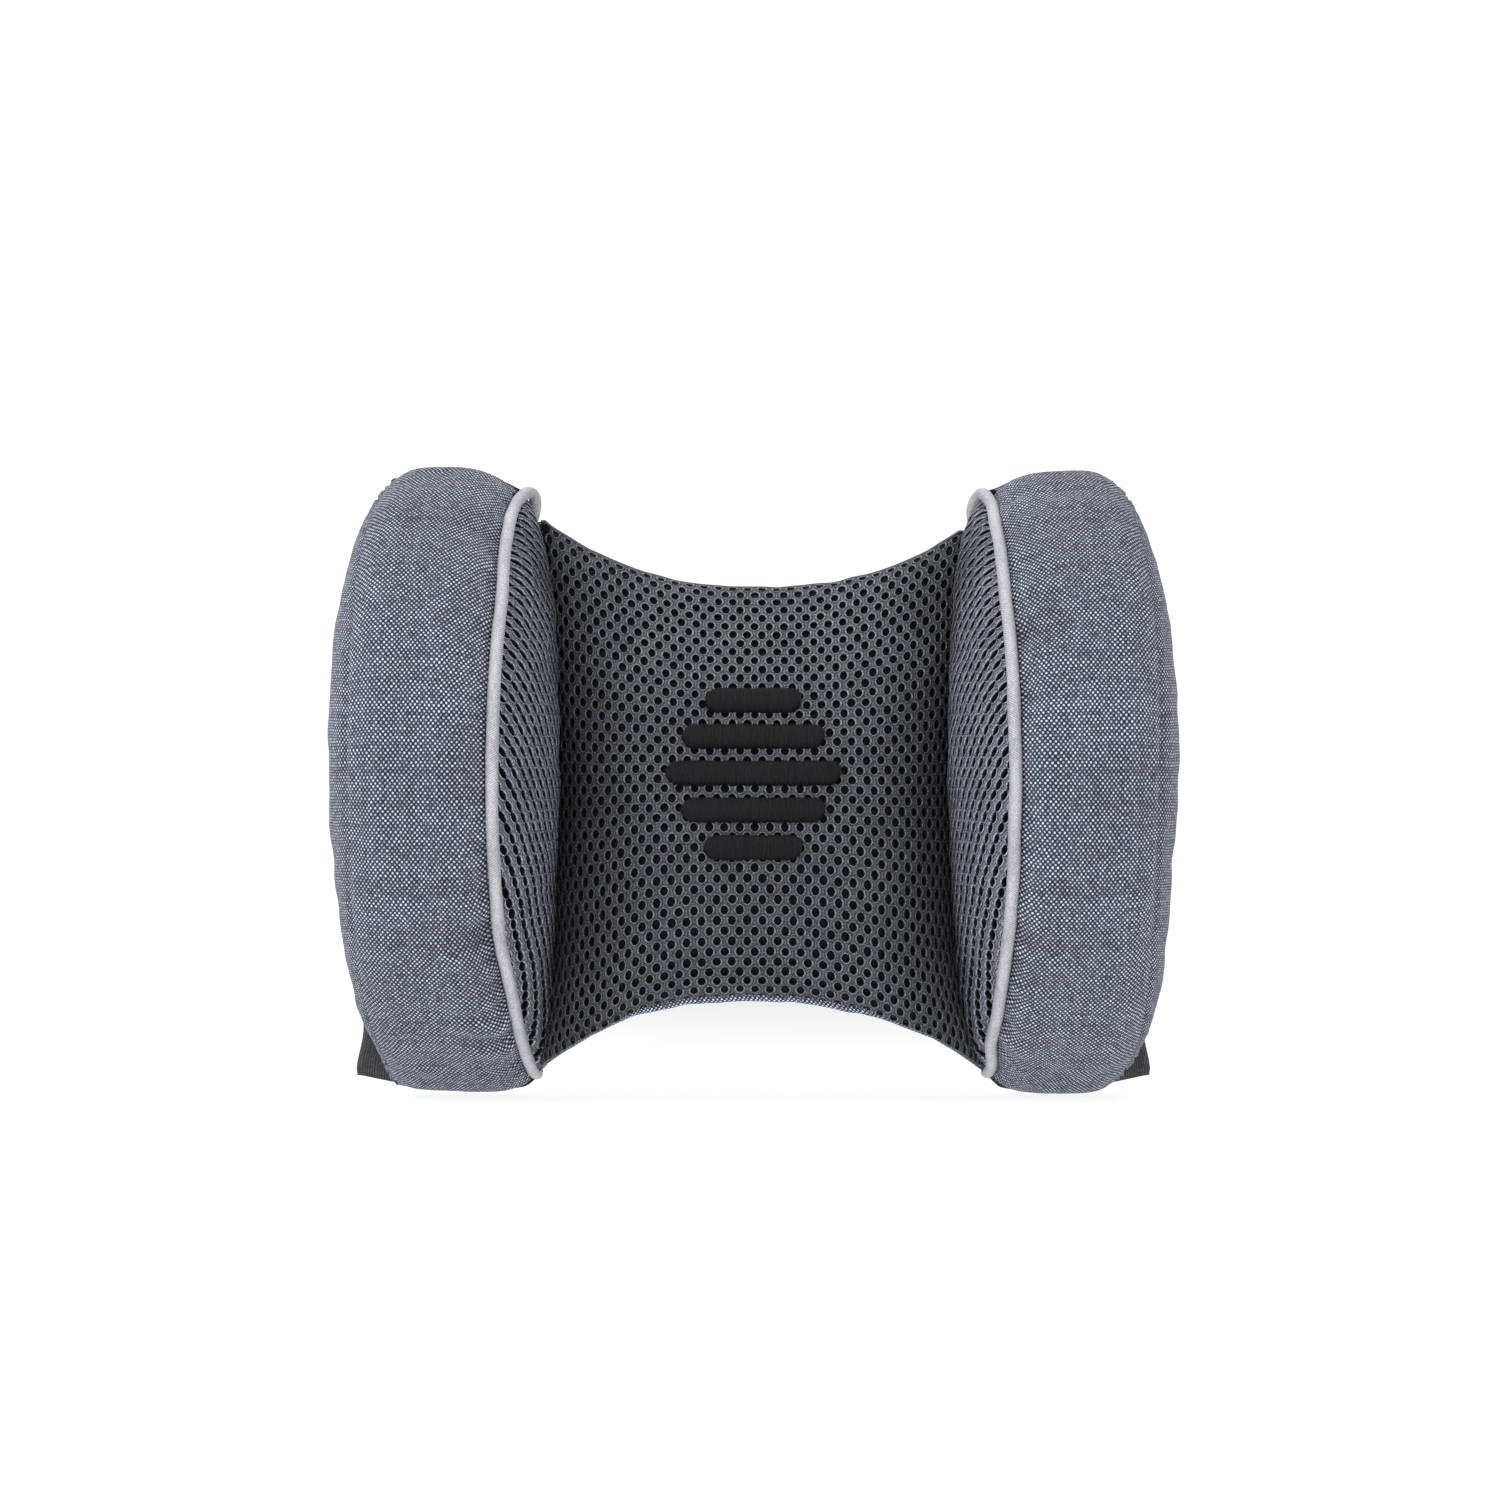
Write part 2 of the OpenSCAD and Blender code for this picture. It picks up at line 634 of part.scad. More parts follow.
module zipper_slider() {
    color("silver") translate([slider_x, 0, zip_z]) difference() {
        union() {
            // Back and front plates, side flanges, and the post between the plates.
            plate_y(0.8, 1.9) round_rect(12, 9.2, 3);
            plate_y(-3.9, -2.8) round_rect(11, 9, 3);
            for (side = [-1, 1])
                plate_y(-0.9, 1) translate([0, side * 3.55]) square([9, 0.7], center = true);
            plate_y(-3, 1) translate([3.6, 0]) round_rect(3.2, 1, 0.4);
            // Arch that holds the pull.
            intersection() {
                translate([0, pull_y - 0.4, -0.9]) cylinder(h = 1.8, r = 2.7);
                translate([-3, 1.5, -1]) cube([6, 6, 2]);
            }
        }
        // Opening of the arch.
        translate([0, pull_y - 0.3, -2]) cylinder(h = 4, r = 1.5);
        translate([-1.5, 1.9, -2]) cube([3, pull_y - 2.2, 4]);
    }
}

module zipper_pull() {
    color("silver") translate([slider_x, pull_y, zip_z]) {
        // Pin, two arms, then the tab with its slot.
        translate([0, 0, -3.4]) cylinder(h = 6.8, r = 0.7);
        for (side = [-1, 1]) translate([0, 0, side * 2.6])
            plate_y(-0.5, 0.5) translate([3, 0]) round_rect(7.4, 1.6, 0.7);
        difference() {
            plate_y(-0.5, 0.5) translate([14.4, 0]) round_rect(18, 7, 2.6);
            plate_y(-1, 1) translate([19.4, 0]) round_rect(4.4, 3, 1.2);
        }
    }
}

center_foam();
left_bolster_foam();
right_bolster_foam();
center_front_mesh();
center_bottom_band();
center_top_binding();
center_back_panel();
left_inner_mesh();
right_inner_mesh();
left_band();
right_band();
left_outer_panel();
right_outer_panel();
left_back_panel();
right_back_panel();
left_piping();
right_piping();
front_embroidery();
strap_left();
strap_right();
strap_tacks();
buckle_socket();
buckle_plug();
strap_adjuster();
zipper_tape_upper();
zipper_tape_lower();
zipper_teeth_upper();
zipper_teeth_lower();
zipper_stops();
zipper_slider();
zipper_pull();
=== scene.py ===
"""A chair cushion: a centre pad faced with air mesh between two tall bolsters, with a zip
in its back panel and an elastic strap with a buckle behind it.

In Blender the front faces -Y, the flat back lies on y = 0, X runs across ("right" is +X)
and Z runs up. Shapes are worked out in millimetres as (x, depth, z), where depth is the
distance in front of the back plane, and are turned into metres (x, -depth, z) at the end.
"""

import math

import bpy
import numpy as np
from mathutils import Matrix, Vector


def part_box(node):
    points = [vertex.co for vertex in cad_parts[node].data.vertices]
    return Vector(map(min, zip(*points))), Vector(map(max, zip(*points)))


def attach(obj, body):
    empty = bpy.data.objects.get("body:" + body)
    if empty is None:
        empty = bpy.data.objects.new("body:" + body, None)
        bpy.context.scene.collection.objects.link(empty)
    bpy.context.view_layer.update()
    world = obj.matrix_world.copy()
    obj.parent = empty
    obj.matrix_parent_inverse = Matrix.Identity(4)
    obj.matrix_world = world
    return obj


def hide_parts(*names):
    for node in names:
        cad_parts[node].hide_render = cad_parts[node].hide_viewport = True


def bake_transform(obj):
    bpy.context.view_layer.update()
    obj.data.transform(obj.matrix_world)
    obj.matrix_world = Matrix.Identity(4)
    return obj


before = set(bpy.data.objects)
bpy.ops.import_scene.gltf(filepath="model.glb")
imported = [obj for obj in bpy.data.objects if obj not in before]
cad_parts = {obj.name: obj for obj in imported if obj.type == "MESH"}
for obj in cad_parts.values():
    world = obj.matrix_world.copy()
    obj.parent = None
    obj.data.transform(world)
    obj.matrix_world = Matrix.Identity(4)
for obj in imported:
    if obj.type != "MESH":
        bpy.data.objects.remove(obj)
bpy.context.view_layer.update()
PI = math.pi

# ------------------------------------------------------------------ sizes

SEAM_X = 84.0               # inner front seam of a bolster, at the back plane
BAND_W = 51.0               # width of a bolster's front band
OUTER_X = SEAM_X + BAND_W   # outer seam, at the back plane
SEAM_D = 92.0               # depth of the seams
TOP_Z, FOOT_Z = 108.6, 115.2  # reach of the inner seam above and below the middle
END_ANGLE = 87.0            # the rows of a bolster run between plus and minus this, degrees
LIFT = 1.2                  # depth at which the side cloth starts
PAD_HALF_W = 79.0
CORD_R = 2.35               # piping cord

HOLE_PITCH, ROW_PITCH = 5.55, 3.85  # holes of the air mesh along a row, and its rows
TO_WORLD = np.array([1.0, -1.0, 1.0])  # turns depth into world y and back


# ------------------------------------------------------------------ curves and noise

def lean(depth):
    """How far a bolster's seams stand outwards at a depth."""
    return 11.3 * np.sqrt(np.maximum(0.0, depth) / SEAM_D)


def smooth(x, start, end):
    x = np.clip((x - start) / (end - start), 0, 1)
    return x * x * (3 - 2 * x)


def bell(x, middle, half):
    return np.exp(-(((x - middle) / half) ** 2))


def bilinear(corner, i, j, x, y):
    """Value at fractions x and y of cell (i, j), from corner(i, j)."""
    near = corner(i, j) * (1 - x) + corner(i + 1, j) * x
    far = corner(i, j + 1) * (1 - x) + corner(i + 1, j + 1) * x
    return near * (1 - y) + far * y


def ease(x):
    return x * x * x * (x * (6 * x - 15) + 10)


def noise(x, y, size, seed):
    """Smooth 2D value noise in -1..1 with features of the given size."""
    lattice = np.random.default_rng(seed).uniform(-1, 1, (64, 64))
    x = np.asarray(x, float) / size + 17.3
    y = np.asarray(y, float) / size + 5.7
    x, y = np.broadcast_arrays(x, y)
    i, j = np.floor(x).astype(int), np.floor(y).astype(int)
    return bilinear(lambda i, j: lattice[i % 64, j % 64], i, j, ease(x - i), ease(y - j))


def rough(x, y, size, seed):
    """Three octaves of noise."""
    return sum(noise(x, y, size / 2 ** k, seed + k) * 0.5 ** k for k in range(3))


# ------------------------------------------------------------------ grids

def join(*parts):
    """Points or uv from coordinates that broadcast against each other."""
    return np.stack(np.broadcast_arrays(*parts), -1)


def cubic(points, at):
    """Catmull-Rom samples along the first axis at fractional places."""
    last = len(points) - 1
    shape = (-1,) + (1,) * (points.ndim - 1)
    at = np.clip(at, 0, last)
    i = np.minimum(np.floor(at).astype(int), last - 1)
    part = (at - i).reshape(shape)
    here, after = points[i], points[i + 1]
    before = np.where((i == 0).reshape(shape), 2 * here - after, points[np.maximum(i - 1, 0)])
    beyond = np.where((i == last - 1).reshape(shape), 2 * after - here,
                      points[np.minimum(i + 2, last)])
    return here + 0.5 * part * (
        after - before + part * (
            2 * before - 5 * here + 4 * after - beyond
            + part * (3 * (here - after) + beyond - before)))


def resample(grid, rows, cols):
    grid = cubic(grid, np.linspace(0, len(grid) - 1, rows))
    grid = cubic(np.swapaxes(grid, 0, 1), np.linspace(0, grid.shape[1] - 1, cols))
    return np.swapaxes(grid, 0, 1)


def lookup(grid, row, col):
    """Bilinear samples of a grid (n, m, k) at fractional rows and columns."""
    n, m = grid.shape[:2]
    row, col = np.clip(row, 0, n - 1), np.clip(col, 0, m - 1)
    i, j = np.minimum(row.astype(int), n - 2), np.minimum(col.astype(int), m - 2)
    return bilinear(lambda i, j: grid[i, j], i, j, (row - i)[..., None], (col - j)[..., None])


def normals(grid):
    """Unit normals of a grid, rows crossed with columns."""
    out = np.cross(np.gradient(grid, axis=0), np.gradient(grid, axis=1))
    length = np.linalg.norm(out, axis=-1, keepdims=True)
    out = out / np.maximum(length, 1e-9)
    bad = length[..., 0] < 1e-6
    if bad.any():
        good = out[~bad].mean(0)
        out[bad] = good / max(np.linalg.norm(good), 1e-9)
    return out


def facing(grid, axis, sign=1):
    """Normals turned so that the one in the middle points along the signed axis."""
    out = normals(grid)
    middle = out[len(grid) // 2, grid.shape[1] // 2, axis]
    return -out if middle * sign < 0 else out


def running(values, axis):
    """Running total that starts at zero."""
    zero = np.zeros_like(np.take(values, [0], axis=axis))
    return np.concatenate([zero, np.cumsum(values, axis=axis)], axis=axis)


def arcs(points, axis):
    """Running length along an axis of a grid or path."""
    return running(np.linalg.norm(np.diff(points, axis=axis), axis=-1), axis)


def quads(n, m, wrap=False):
    i = np.arange(n - 1)[:, None]
    j = np.arange(m if wrap else m - 1)[None, :]
    k = (j + 1) % m
    return join(i * m + j, i * m + k, (i + 1) * m + k, (i + 1) * m + j).reshape(-1, 4)


def shell(n, m):
    """Faces of a grid whose columns run in a loop, with strips that close both ends."""
    k = np.arange(m // 2 - 1)
    low = np.stack([k, m - 1 - k, m - 2 - k, k + 1], 1)
    top = np.stack([k, k + 1, m - 2 - k, m - 1 - k], 1) + (n - 1) * m
    return [quads(n, m, True), low, top]


def turned(faces, side):
    """Faces with their winding reversed on the left (side -1)."""
    return [f[:, ::side] for f in faces]


def flip(grid, side):
    """Mirrors a right-hand shape when side is -1."""
    grid = grid.copy()
    grid[..., 0] *= side
    return grid


def sheet_faces(grid, away):
    """Faces of a grid wound so that they look along 'away' (x, depth, z)."""
    faces = quads(*grid.shape[:2])
    i, j = grid.shape[0] // 2, grid.shape[1] // 2
    start = grid[i, j]
    normal = np.cross(grid[i, j + 1] - start, grid[i + 1, j] - start)
    # depth runs against world y, which turns the winding round
    return faces if np.dot(normal, away) < 0 else faces[:, ::-1]


def merge(sheets):
    """One set of points, faces and uv from several."""
    points, faces, uvs, base = [], [], [], 0
    for sheet_points, sheet_quads, uv in sheets:
        points.append(sheet_points.reshape(-1, 3))
        faces.append(sheet_quads + base)
        uvs.append(uv.reshape(-1, 2))
        base += len(points[-1])
    return np.concatenate(points), np.concatenate(faces), np.concatenate(uvs)


def tubes(paths, radius, sides):
    """Round threads along paths (n, 3), as one set of points, faces and uv."""
    turn = np.arange(sides + 1) / sides * 2 * PI
    made = []
    for i, path in enumerate(paths):
        along = np.gradient(path, axis=0)
        along /= np.maximum(np.linalg.norm(along, axis=1, keepdims=True), 1e-9)
        across = np.cross(along, [0, 1.0, 0])
        length = np.linalg.norm(across, axis=1, keepdims=True)
        across = np.where(length < 1e-3, np.cross(along, [0, 0, 1.0]), across)
        across /= np.maximum(np.linalg.norm(across, axis=1, keepdims=True), 1e-9)
        other = np.cross(across, along)
        size = np.broadcast_to(np.atleast_1d(radius), (len(path),))[:, None, None]
        ring = path[:, None] + size * (np.cos(turn)[None, :, None] * across[:, None]
                                       + np.sin(turn)[None, :, None] * other[:, None])
        uv = join(turn[None, :] * np.mean(size) + i * 3.7, arcs(path, 0)[:, None])
        made.append((ring, quads(len(path), sides + 1), uv))
    return merge(made)


# ------------------------------------------------------------------ objects

def link(name, data):
    made = bpy.data.objects.new(name, data)
    bpy.context.scene.collection.objects.link(made)
    return made


def new_mesh(name, points, faces, scale):
    """Mesh from (x, depth, z) points, and the vertex of each of its face corners."""
    mesh = bpy.data.meshes.new(name)
    mesh.vertices.add(len(points))
    mesh.vertices.foreach_set("co", (points * TO_WORLD * scale).astype(np.float32).ravel())
    corners = np.concatenate([f.ravel() for f in faces]).astype(np.int32)
    sizes = np.concatenate([np.full(len(f), f.shape[1]) for f in faces])
    mesh.loops.add(len(corners))
    mesh.loops.foreach_set("vertex_index", corners)
    mesh.polygons.add(len(sizes))
    mesh.polygons.foreach_set("loop_start", running(sizes, 0)[:-1].astype(np.int32))
    mesh.update(calc_edges=True)
    return mesh, corners


def make(name, points, faces, uv, mat, smoothed=True, **attributes):
    """Object from points in mm and one or several arrays of faces."""
    if isinstance(faces, np.ndarray):
        faces = [faces]
    points = np.asarray(points, float).reshape(-1, 3)
    mesh, corners = new_mesh(name, points, faces, 0.001)
    if uv is not None:
        layer = mesh.uv_layers.new(name="mm")
        uv = np.asarray(uv, float).reshape(-1, 2)[corners]
        layer.data.foreach_set("uv", uv.astype(np.float32).ravel())
    for key, values in attributes.items():
        attribute = mesh.attributes.new(key, "FLOAT", "POINT")
        attribute.data.foreach_set("value", np.asarray(values, np.float32).ravel())
    mesh.polygons.foreach_set("use_smooth", np.full(len(mesh.polygons), smoothed))
    mesh.validate()
    mesh.update()
    made = link(name, mesh)
    mesh.materials.append(mat)
    return made


def part(name, slot, node, points, faces, uv, mat, **attributes):
    """A piece that moves with the cushion; node is the CAD piece it stands for, if any."""
    made = make(name, points, faces, uv, mat, **attributes)
    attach(made, "cushion")
    if node:
        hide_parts(node)


def sheet(name, slot, node, grid, away, uv, mat, **attributes):
    part(name, slot, node, grid, sheet_faces(grid, away), uv, mat, **attributes)


# ------------------------------------------------------------------ shader values

class Value:
    """An output inside a node tree, with arithmetic."""

    def __init__(self, tree, socket):
        self.tree, self.socket = tree, socket

    def op(self, kind, *rest):
        return add_node(self.tree, "Math", dict(enumerate((self,) + rest)), operation=kind)

    def __add__(self, other): return self.op("ADD", other)
    def __sub__(self, other): return self.op("SUBTRACT", other)
    def __rsub__(self, other): return (self * -1).op("ADD", other)
    def __mul__(self, other): return self.op("MULTIPLY", other)
    def __truediv__(self, other): return self.op("DIVIDE", other)
    def frac(self): return self.op("FRACT")
    def floor(self): return self.op("FLOOR")
    def sin(self): return self.op("SINE")
    def abs(self): return self.op("ABSOLUTE")
    def pow(self, other): return self.op("POWER", other)
    def clip(self): return self.op("MAXIMUM", 0.0).op("MINIMUM", 1.0)


def feed(tree, socket, value):
    """Links a Value to an input, or sets a plain number or colour on it."""
    if isinstance(value, Value):
        tree.links.new(value.socket, socket)
    else:
        socket.default_value = value


def add_node(tree, kind, inputs=None, out=0, **settings):
    made = tree.nodes.new("ShaderNode" + kind)
    for key, value in settings.items():
        setattr(made, key, value)
    for key, value in (inputs or {}).items():
        feed(tree, made.inputs[key], value)
    return Value(tree, made.outputs[out])


def split(vector):
    made = vector.tree.nodes.new("ShaderNodeSeparateXYZ")
    feed(vector.tree, made.inputs[0], vector)
    return [Value(vector.tree, socket) for socket in made.outputs]


def vec(x, y, z):
    return add_node(x.tree, "CombineXYZ", {0: x, 1: y, 2: z})


def cloud(x, y, z, detail=2.0):
    """Soft noise."""
    inputs = {"Vector": vec(x, y, z), "Scale": 1.0, "Detail": detail}
    return add_node(x.tree, "TexNoise", inputs)


def speck(x, y, z):
    """One random number for each place."""
    return add_node(x.tree, "TexWhiteNoise", {"Vector": vec(x, y, z)}, "Value",
                    noise_dimensions="3D")


def mix(share, dark, light):
    inputs = {0: share, 6: (*dark, 1.0), 7: (*light, 1.0)}
    return add_node(share.tree, "Mix", inputs, 2, data_type="RGBA")


def scaled(colour, gain):
    return add_node(gain.tree, "VectorMath", {0: colour, "Scale": gain}, operation="SCALE")


def attribute_of(value, name="tone"):
    """A mesh attribute; the default one is painted shade: it darkens the cloth where it is above
    zero, and below zero it lightens it as painted light.
    """
    return add_node(value.tree, "Attribute", out="Fac", attribute_name=name)


# ------------------------------------------------------------------ looks
# A look turns places in mm into a colour, a height in mm and, for the hard materials,
# a roughness. The last argument of cloud and speck, where it is a plain number, only
# picks a slice of the noise. "rise" is the height of the threads.

def knitted_rings(u, v, dark, light, rise=0.10):
    """Strands of an air mesh: threads ring each hole, with small stitches between."""
    rim = attribute_of(u, "rim")  # 0 between cells, 1 at a hole's rim, 2 at its foot
    # ring peaks at the hole's rim: there the strands are painted lighter, a painted highlight,
    # and also raised in the bump
    ring = (1.0 - ((rim - 0.82).abs() * 3.2).clip()).pow(0.8) + (1.0 - (rim * 4.0).clip()) * 0.45
    # stitches per mm each way
    col, row = u * 2.1, v * 2.5
    cell = speck(col.floor(), row.floor(), 1.5)
    leg = ((col.frac() + (row.floor() * 0.5).frac()) * PI * 2.0).sin() * 0.5 + 0.5
    fuzz = cloud(u * 2.3, v * 2.3, 4.0)
    patch = cloud(u * 0.05, v * 0.05, 5.0, detail=3.0)
    # the walls of the holes fall into shade
    wall = 1.0 - ((rim - 1.0) * 2.4).clip() * 0.94
    share = ((ring * 0.62 + 0.05) * (cell * 1.1 + 0.35) + leg * cell * 0.26
             + (fuzz - 0.5) * 0.55).clip()
    # the mesh attribute adds painted shade, and painted light where it is below zero
    shade = (patch * 0.4 + 0.8) * wall * (1.0 - attribute_of(u))
    return scaled(mix(share, dark, light), shade), (ring * 0.6 + cell * leg * 0.5
                                                    + fuzz * 0.5) * rise


def weave(u, v, pitch_u, pitch_v, dark, light, rise=0.16, toned=False, crisp=1.0):
    """Plain weave: light threads run across (along u), dark ones up (along v)."""
    worn = 0.25  # how much the patches vary in brightness
    # the threads wander a little
    wander = cloud(u * 0.11, v * 0.11, 3.0) - 0.5
    col = (u + wander * 1.6) * (1 / pitch_u)
    wander = cloud(u * 0.09, v * 0.13, 11.0) - 0.5
    row = (v + wander * 1.4) * (1 / pitch_v)
    col_no, row_no = col.floor(), row.floor()
    odd = ((col_no + row_no) * 0.5).frac() * 2.0
    col_bow = (col.frac() * PI).sin()
    row_bow = (row.frac() * PI).sin()
    over = row_bow.pow(0.6) * (col_bow * 0.55 + 0.45)
    under = col_bow.pow(0.6) * (row_bow * 0.55 + 0.45)
    # brightness varies by crossing, by thread and by slub
    cell = speck(col_no, row_no, 0.5)
    row_lot = speck(row_no, 3.0, 7.0)
    col_lot = speck(col_no, 9.0, 2.0)
    slub = cloud(u * 0.16, row_no * 0.83, 2.0, detail=1.0)
    shade_over = over.pow(1.3) * (cell * 0.5 + row_lot * 0.2 + slub * 0.7 + 0.22)
    shade_under = under * (cell * 0.10 + col_lot * 0.12)
    share = (shade_over * odd + shade_under * (1.0 - odd)).clip().pow(crisp)
    height = (over * odd + under * (1.0 - odd) * 0.8) * rise + (slub - 0.5) * (rise * 0.7)
    patch = cloud(u * 0.035, v * 0.035, 5.0, detail=3.0)
    colour = mix(share, dark, light)
    gain = patch * worn + (1.0 - worn * 0.5)
    # painted shade and painted light from the mesh attribute darken or lighten the cloth
    if toned:
        gain = gain * (1.0 - attribute_of(u))
    return scaled(colour, gain), height


def knit(u, v, pitch, dark, light, rise=0.12):
    """Warp knit: rows of small slanted loops."""
    col = u * (1 / pitch)
    row = v * (1 / (pitch * 1.3))
    col_no, row_no = col.floor(), row.floor()
    x, y = col.frac() - 0.5, row.frac() - 0.5
    leg = 1.0 - ((x.abs() - 0.25).abs() * 3.4 + y * 0.0)
    slant = ((y * 0.8 + x.abs() * 1.4) * PI * 2.0).sin() * 0.5 + 0.5
    height = leg.clip() * 0.6 + slant * 0.4
    cell = speck(col_no, row_no, 1.5)
    patch = cloud(u * 0.05, v * 0.05, 5.0, detail=3.0)
    share = (height * (cell * 0.5 + 0.5) * (patch * 0.6 + 0.7)).clip()
    return mix(share, dark, light), height * rise


def rib_tape(u, v, pitch, dark, light, rise=0.1, diag=0.0, toned=False):
    """Woven tape: ribs along v, crossed by fine threads; diag slants the ribs."""
    rib = (v + u * diag) * (1 / pitch)
    thread = u * (1 / (pitch * 0.62))
    rib_bow = (rib.frac() * PI).sin()
    thread_bow = (thread.frac() * PI).sin()
    cell = speck(thread.floor(), rib.floor(), 0.5)
    patch = cloud(u * 0.12, v * 0.06, 1.0, detail=3.0)
    height = rib_bow.pow(0.7) * (thread_bow * 0.4 + 0.6)
    share = (height * (cell * 0.35 + 0.5) + (patch - 0.5) * 0.5).clip()
    colour = mix(share, dark, light)
    # painted shade and painted light from the mesh attribute darken or lighten the tape
    if toned:
        colour = scaled(colour, 1.0 - attribute_of(u))
    return colour, height * rise


def yarn(u, v, pitch, dark, light, rise):
    """Twisted thread; lot sets neighbouring threads apart."""
    twist = (v * 1.0 + u * 1.6) * (1 / pitch)
    height = (twist.frac() * PI).sin()
    lot = speck((u * 0.27).floor(), 4.0, 1.0)
    return mix((height * 0.6 + lot * 0.4).clip(), dark, light), height * rise


def plastic(x, y, z, base, grain=0.012):
    """Moulded surface with a fine grain and broad patches of gloss."""
    fine = cloud(x * 1.9, y * 1.9, z * 1.9, detail=3.0)
    broad = cloud(x * 0.08, y * 0.08, z * 0.08)
    return scaled(base, broad * 0.35 + 0.82), fine * grain, broad * 0.16 + 0.34


def metal(x, y, z, base):
    """Metal brushed along x."""
    brushed = cloud(x * 0.7, y * 6.0, z * 6.0, detail=3.0)
    broad = cloud(x * 0.2, y * 0.2, z * 0.2)
    return scaled(base, broad * 0.3 + 0.82), brushed * 0.006, brushed * 0.2 + 0.2


def foam_cells(u, v, base):
    cells = add_node(u.tree, "TexVoronoi", {"Vector": vec(u, v, 0.0), "Scale": 1.1}, "Distance")
    return scaled(base, cells * 0.6 + 0.6), cells * 0.3


def material(name, look, solid=False, roughness=0.85, metallic=0.0, sheen=0.0,
             specular=0.3, **pattern):
    """Solid looks work in object space, the others in the "mm" uv map."""
    mat = bpy.data.materials.new(name)
    mat.use_nodes = True
    tree = mat.node_tree
    inputs = tree.nodes["Principled BSDF"].inputs
    if solid:
        place = [axis * 1000.0 for axis in split(add_node(tree, "TexCoord", out="Object"))]
    else:
        place = split(add_node(tree, "UVMap", uv_map="mm"))[:2]
    colour, height, *shine = look(*place, **pattern)
    inputs["Roughness"].default_value = roughness
    inputs["Metallic"].default_value = metallic
    inputs["Specular IOR Level"].default_value = specular
    if sheen:
        inputs["Sheen Weight"].default_value = sheen
        inputs["Sheen Roughness"].default_value = 0.5
    feed(tree, inputs["Base Color"], colour)
    if shine:
        feed(tree, inputs["Roughness"], shine[0])
    bump = add_node(tree, "Bump", {"Distance": 0.001, "Height": height})
    feed(tree, inputs["Normal"], bump)
    return mat


GREY_WEAVE = material(
    "woven_grey", weave, pitch_u=0.82, pitch_v=1.09, dark=(0.010, 0.013, 0.025),
    light=(0.775, 0.84, 1.0), toned=True, crisp=1.42, roughness=0.9, sheen=0.05)
BACK_WEAVE = material(
    "back_woven", weave, pitch_u=0.95, pitch_v=1.0, dark=(0.030, 0.033, 0.042),
    light=(0.16, 0.17, 0.20), rise=0.12, roughness=0.92)
STRAND = material(
    "mesh_strand", knitted_rings, dark=(0.013, 0.0135, 0.016), light=(0.37, 0.38, 0.43),
    roughness=0.8)
# a lighter copy of the pad's strand colours: painted light on the bolsters' inner faces
SIDE_STRAND_PAINTED_LIGHT = material(
    "mesh_strand_side_painted_light", knitted_rings, dark=(0.021, 0.0225, 0.029), light=(0.62, 0.645, 0.77),
    roughness=0.8)
LINING = material(
    "mesh_under", knit, pitch=0.9, dark=(0.005, 0.005, 0.007), light=(0.026, 0.027, 0.032),
    roughness=0.95)
PIPING = material(
    "piping_cloth", rib_tape, pitch=0.86, dark=(0.22, 0.22, 0.265), light=(0.99, 0.99, 1.0),
    rise=0.14, diag=0.6, toned=True, roughness=0.6, sheen=0.1)
SATIN = material(
    "satin_thread", yarn, pitch=0.42, dark=(0.0015, 0.0015, 0.002),
    light=(0.010, 0.0095, 0.012), rise=0.03, roughness=0.45, specular=0.22)
STITCH = material(
    "seam_thread", yarn, pitch=0.6, dark=(0.05, 0.055, 0.07), light=(0.16, 0.17, 0.20),
    rise=0.04, roughness=0.6)
DARK_STITCH = material(
    "dark_thread", yarn, pitch=0.6, dark=(0.008, 0.008, 0.010), light=(0.035, 0.035, 0.040),
    rise=0.04, roughness=0.55)
WEBBING = material(
    "elastic_web", rib_tape, pitch=0.95, dark=(0.006, 0.006, 0.008),
    light=(0.118, 0.115, 0.128), rise=0.08, roughness=0.72)
BINDING = material(
    "binding_web", weave, pitch_u=0.7, pitch_v=0.8, dark=(0.030, 0.033, 0.042),
    light=(0.22, 0.235, 0.275), rise=0.1, roughness=0.88)
ZIP_TAPE = material(
    "zip_tape", rib_tape, pitch=0.55, dark=(0.014, 0.014, 0.017), light=(0.060, 0.060, 0.068),
    rise=0.05, diag=0.8, roughness=0.8)
PLASTIC = material("moulded_plastic", plastic, base=(0.022, 0.022, 0.024), solid=True,
                   specular=0.5)
TEETH = material("coil_plastic", plastic, base=(0.040, 0.041, 0.046), grain=0.004, solid=True,
                 specular=0.55)
NICKEL = material("nickel_plate", metal, base=(0.62, 0.61, 0.59), solid=True, metallic=1.0,
                  specular=0.5)
FOAM = material("foam_cells", foam_cells, base=(0.035, 0.035, 0.040), roughness=0.95)


# ------------------------------------------------------------------ cloth

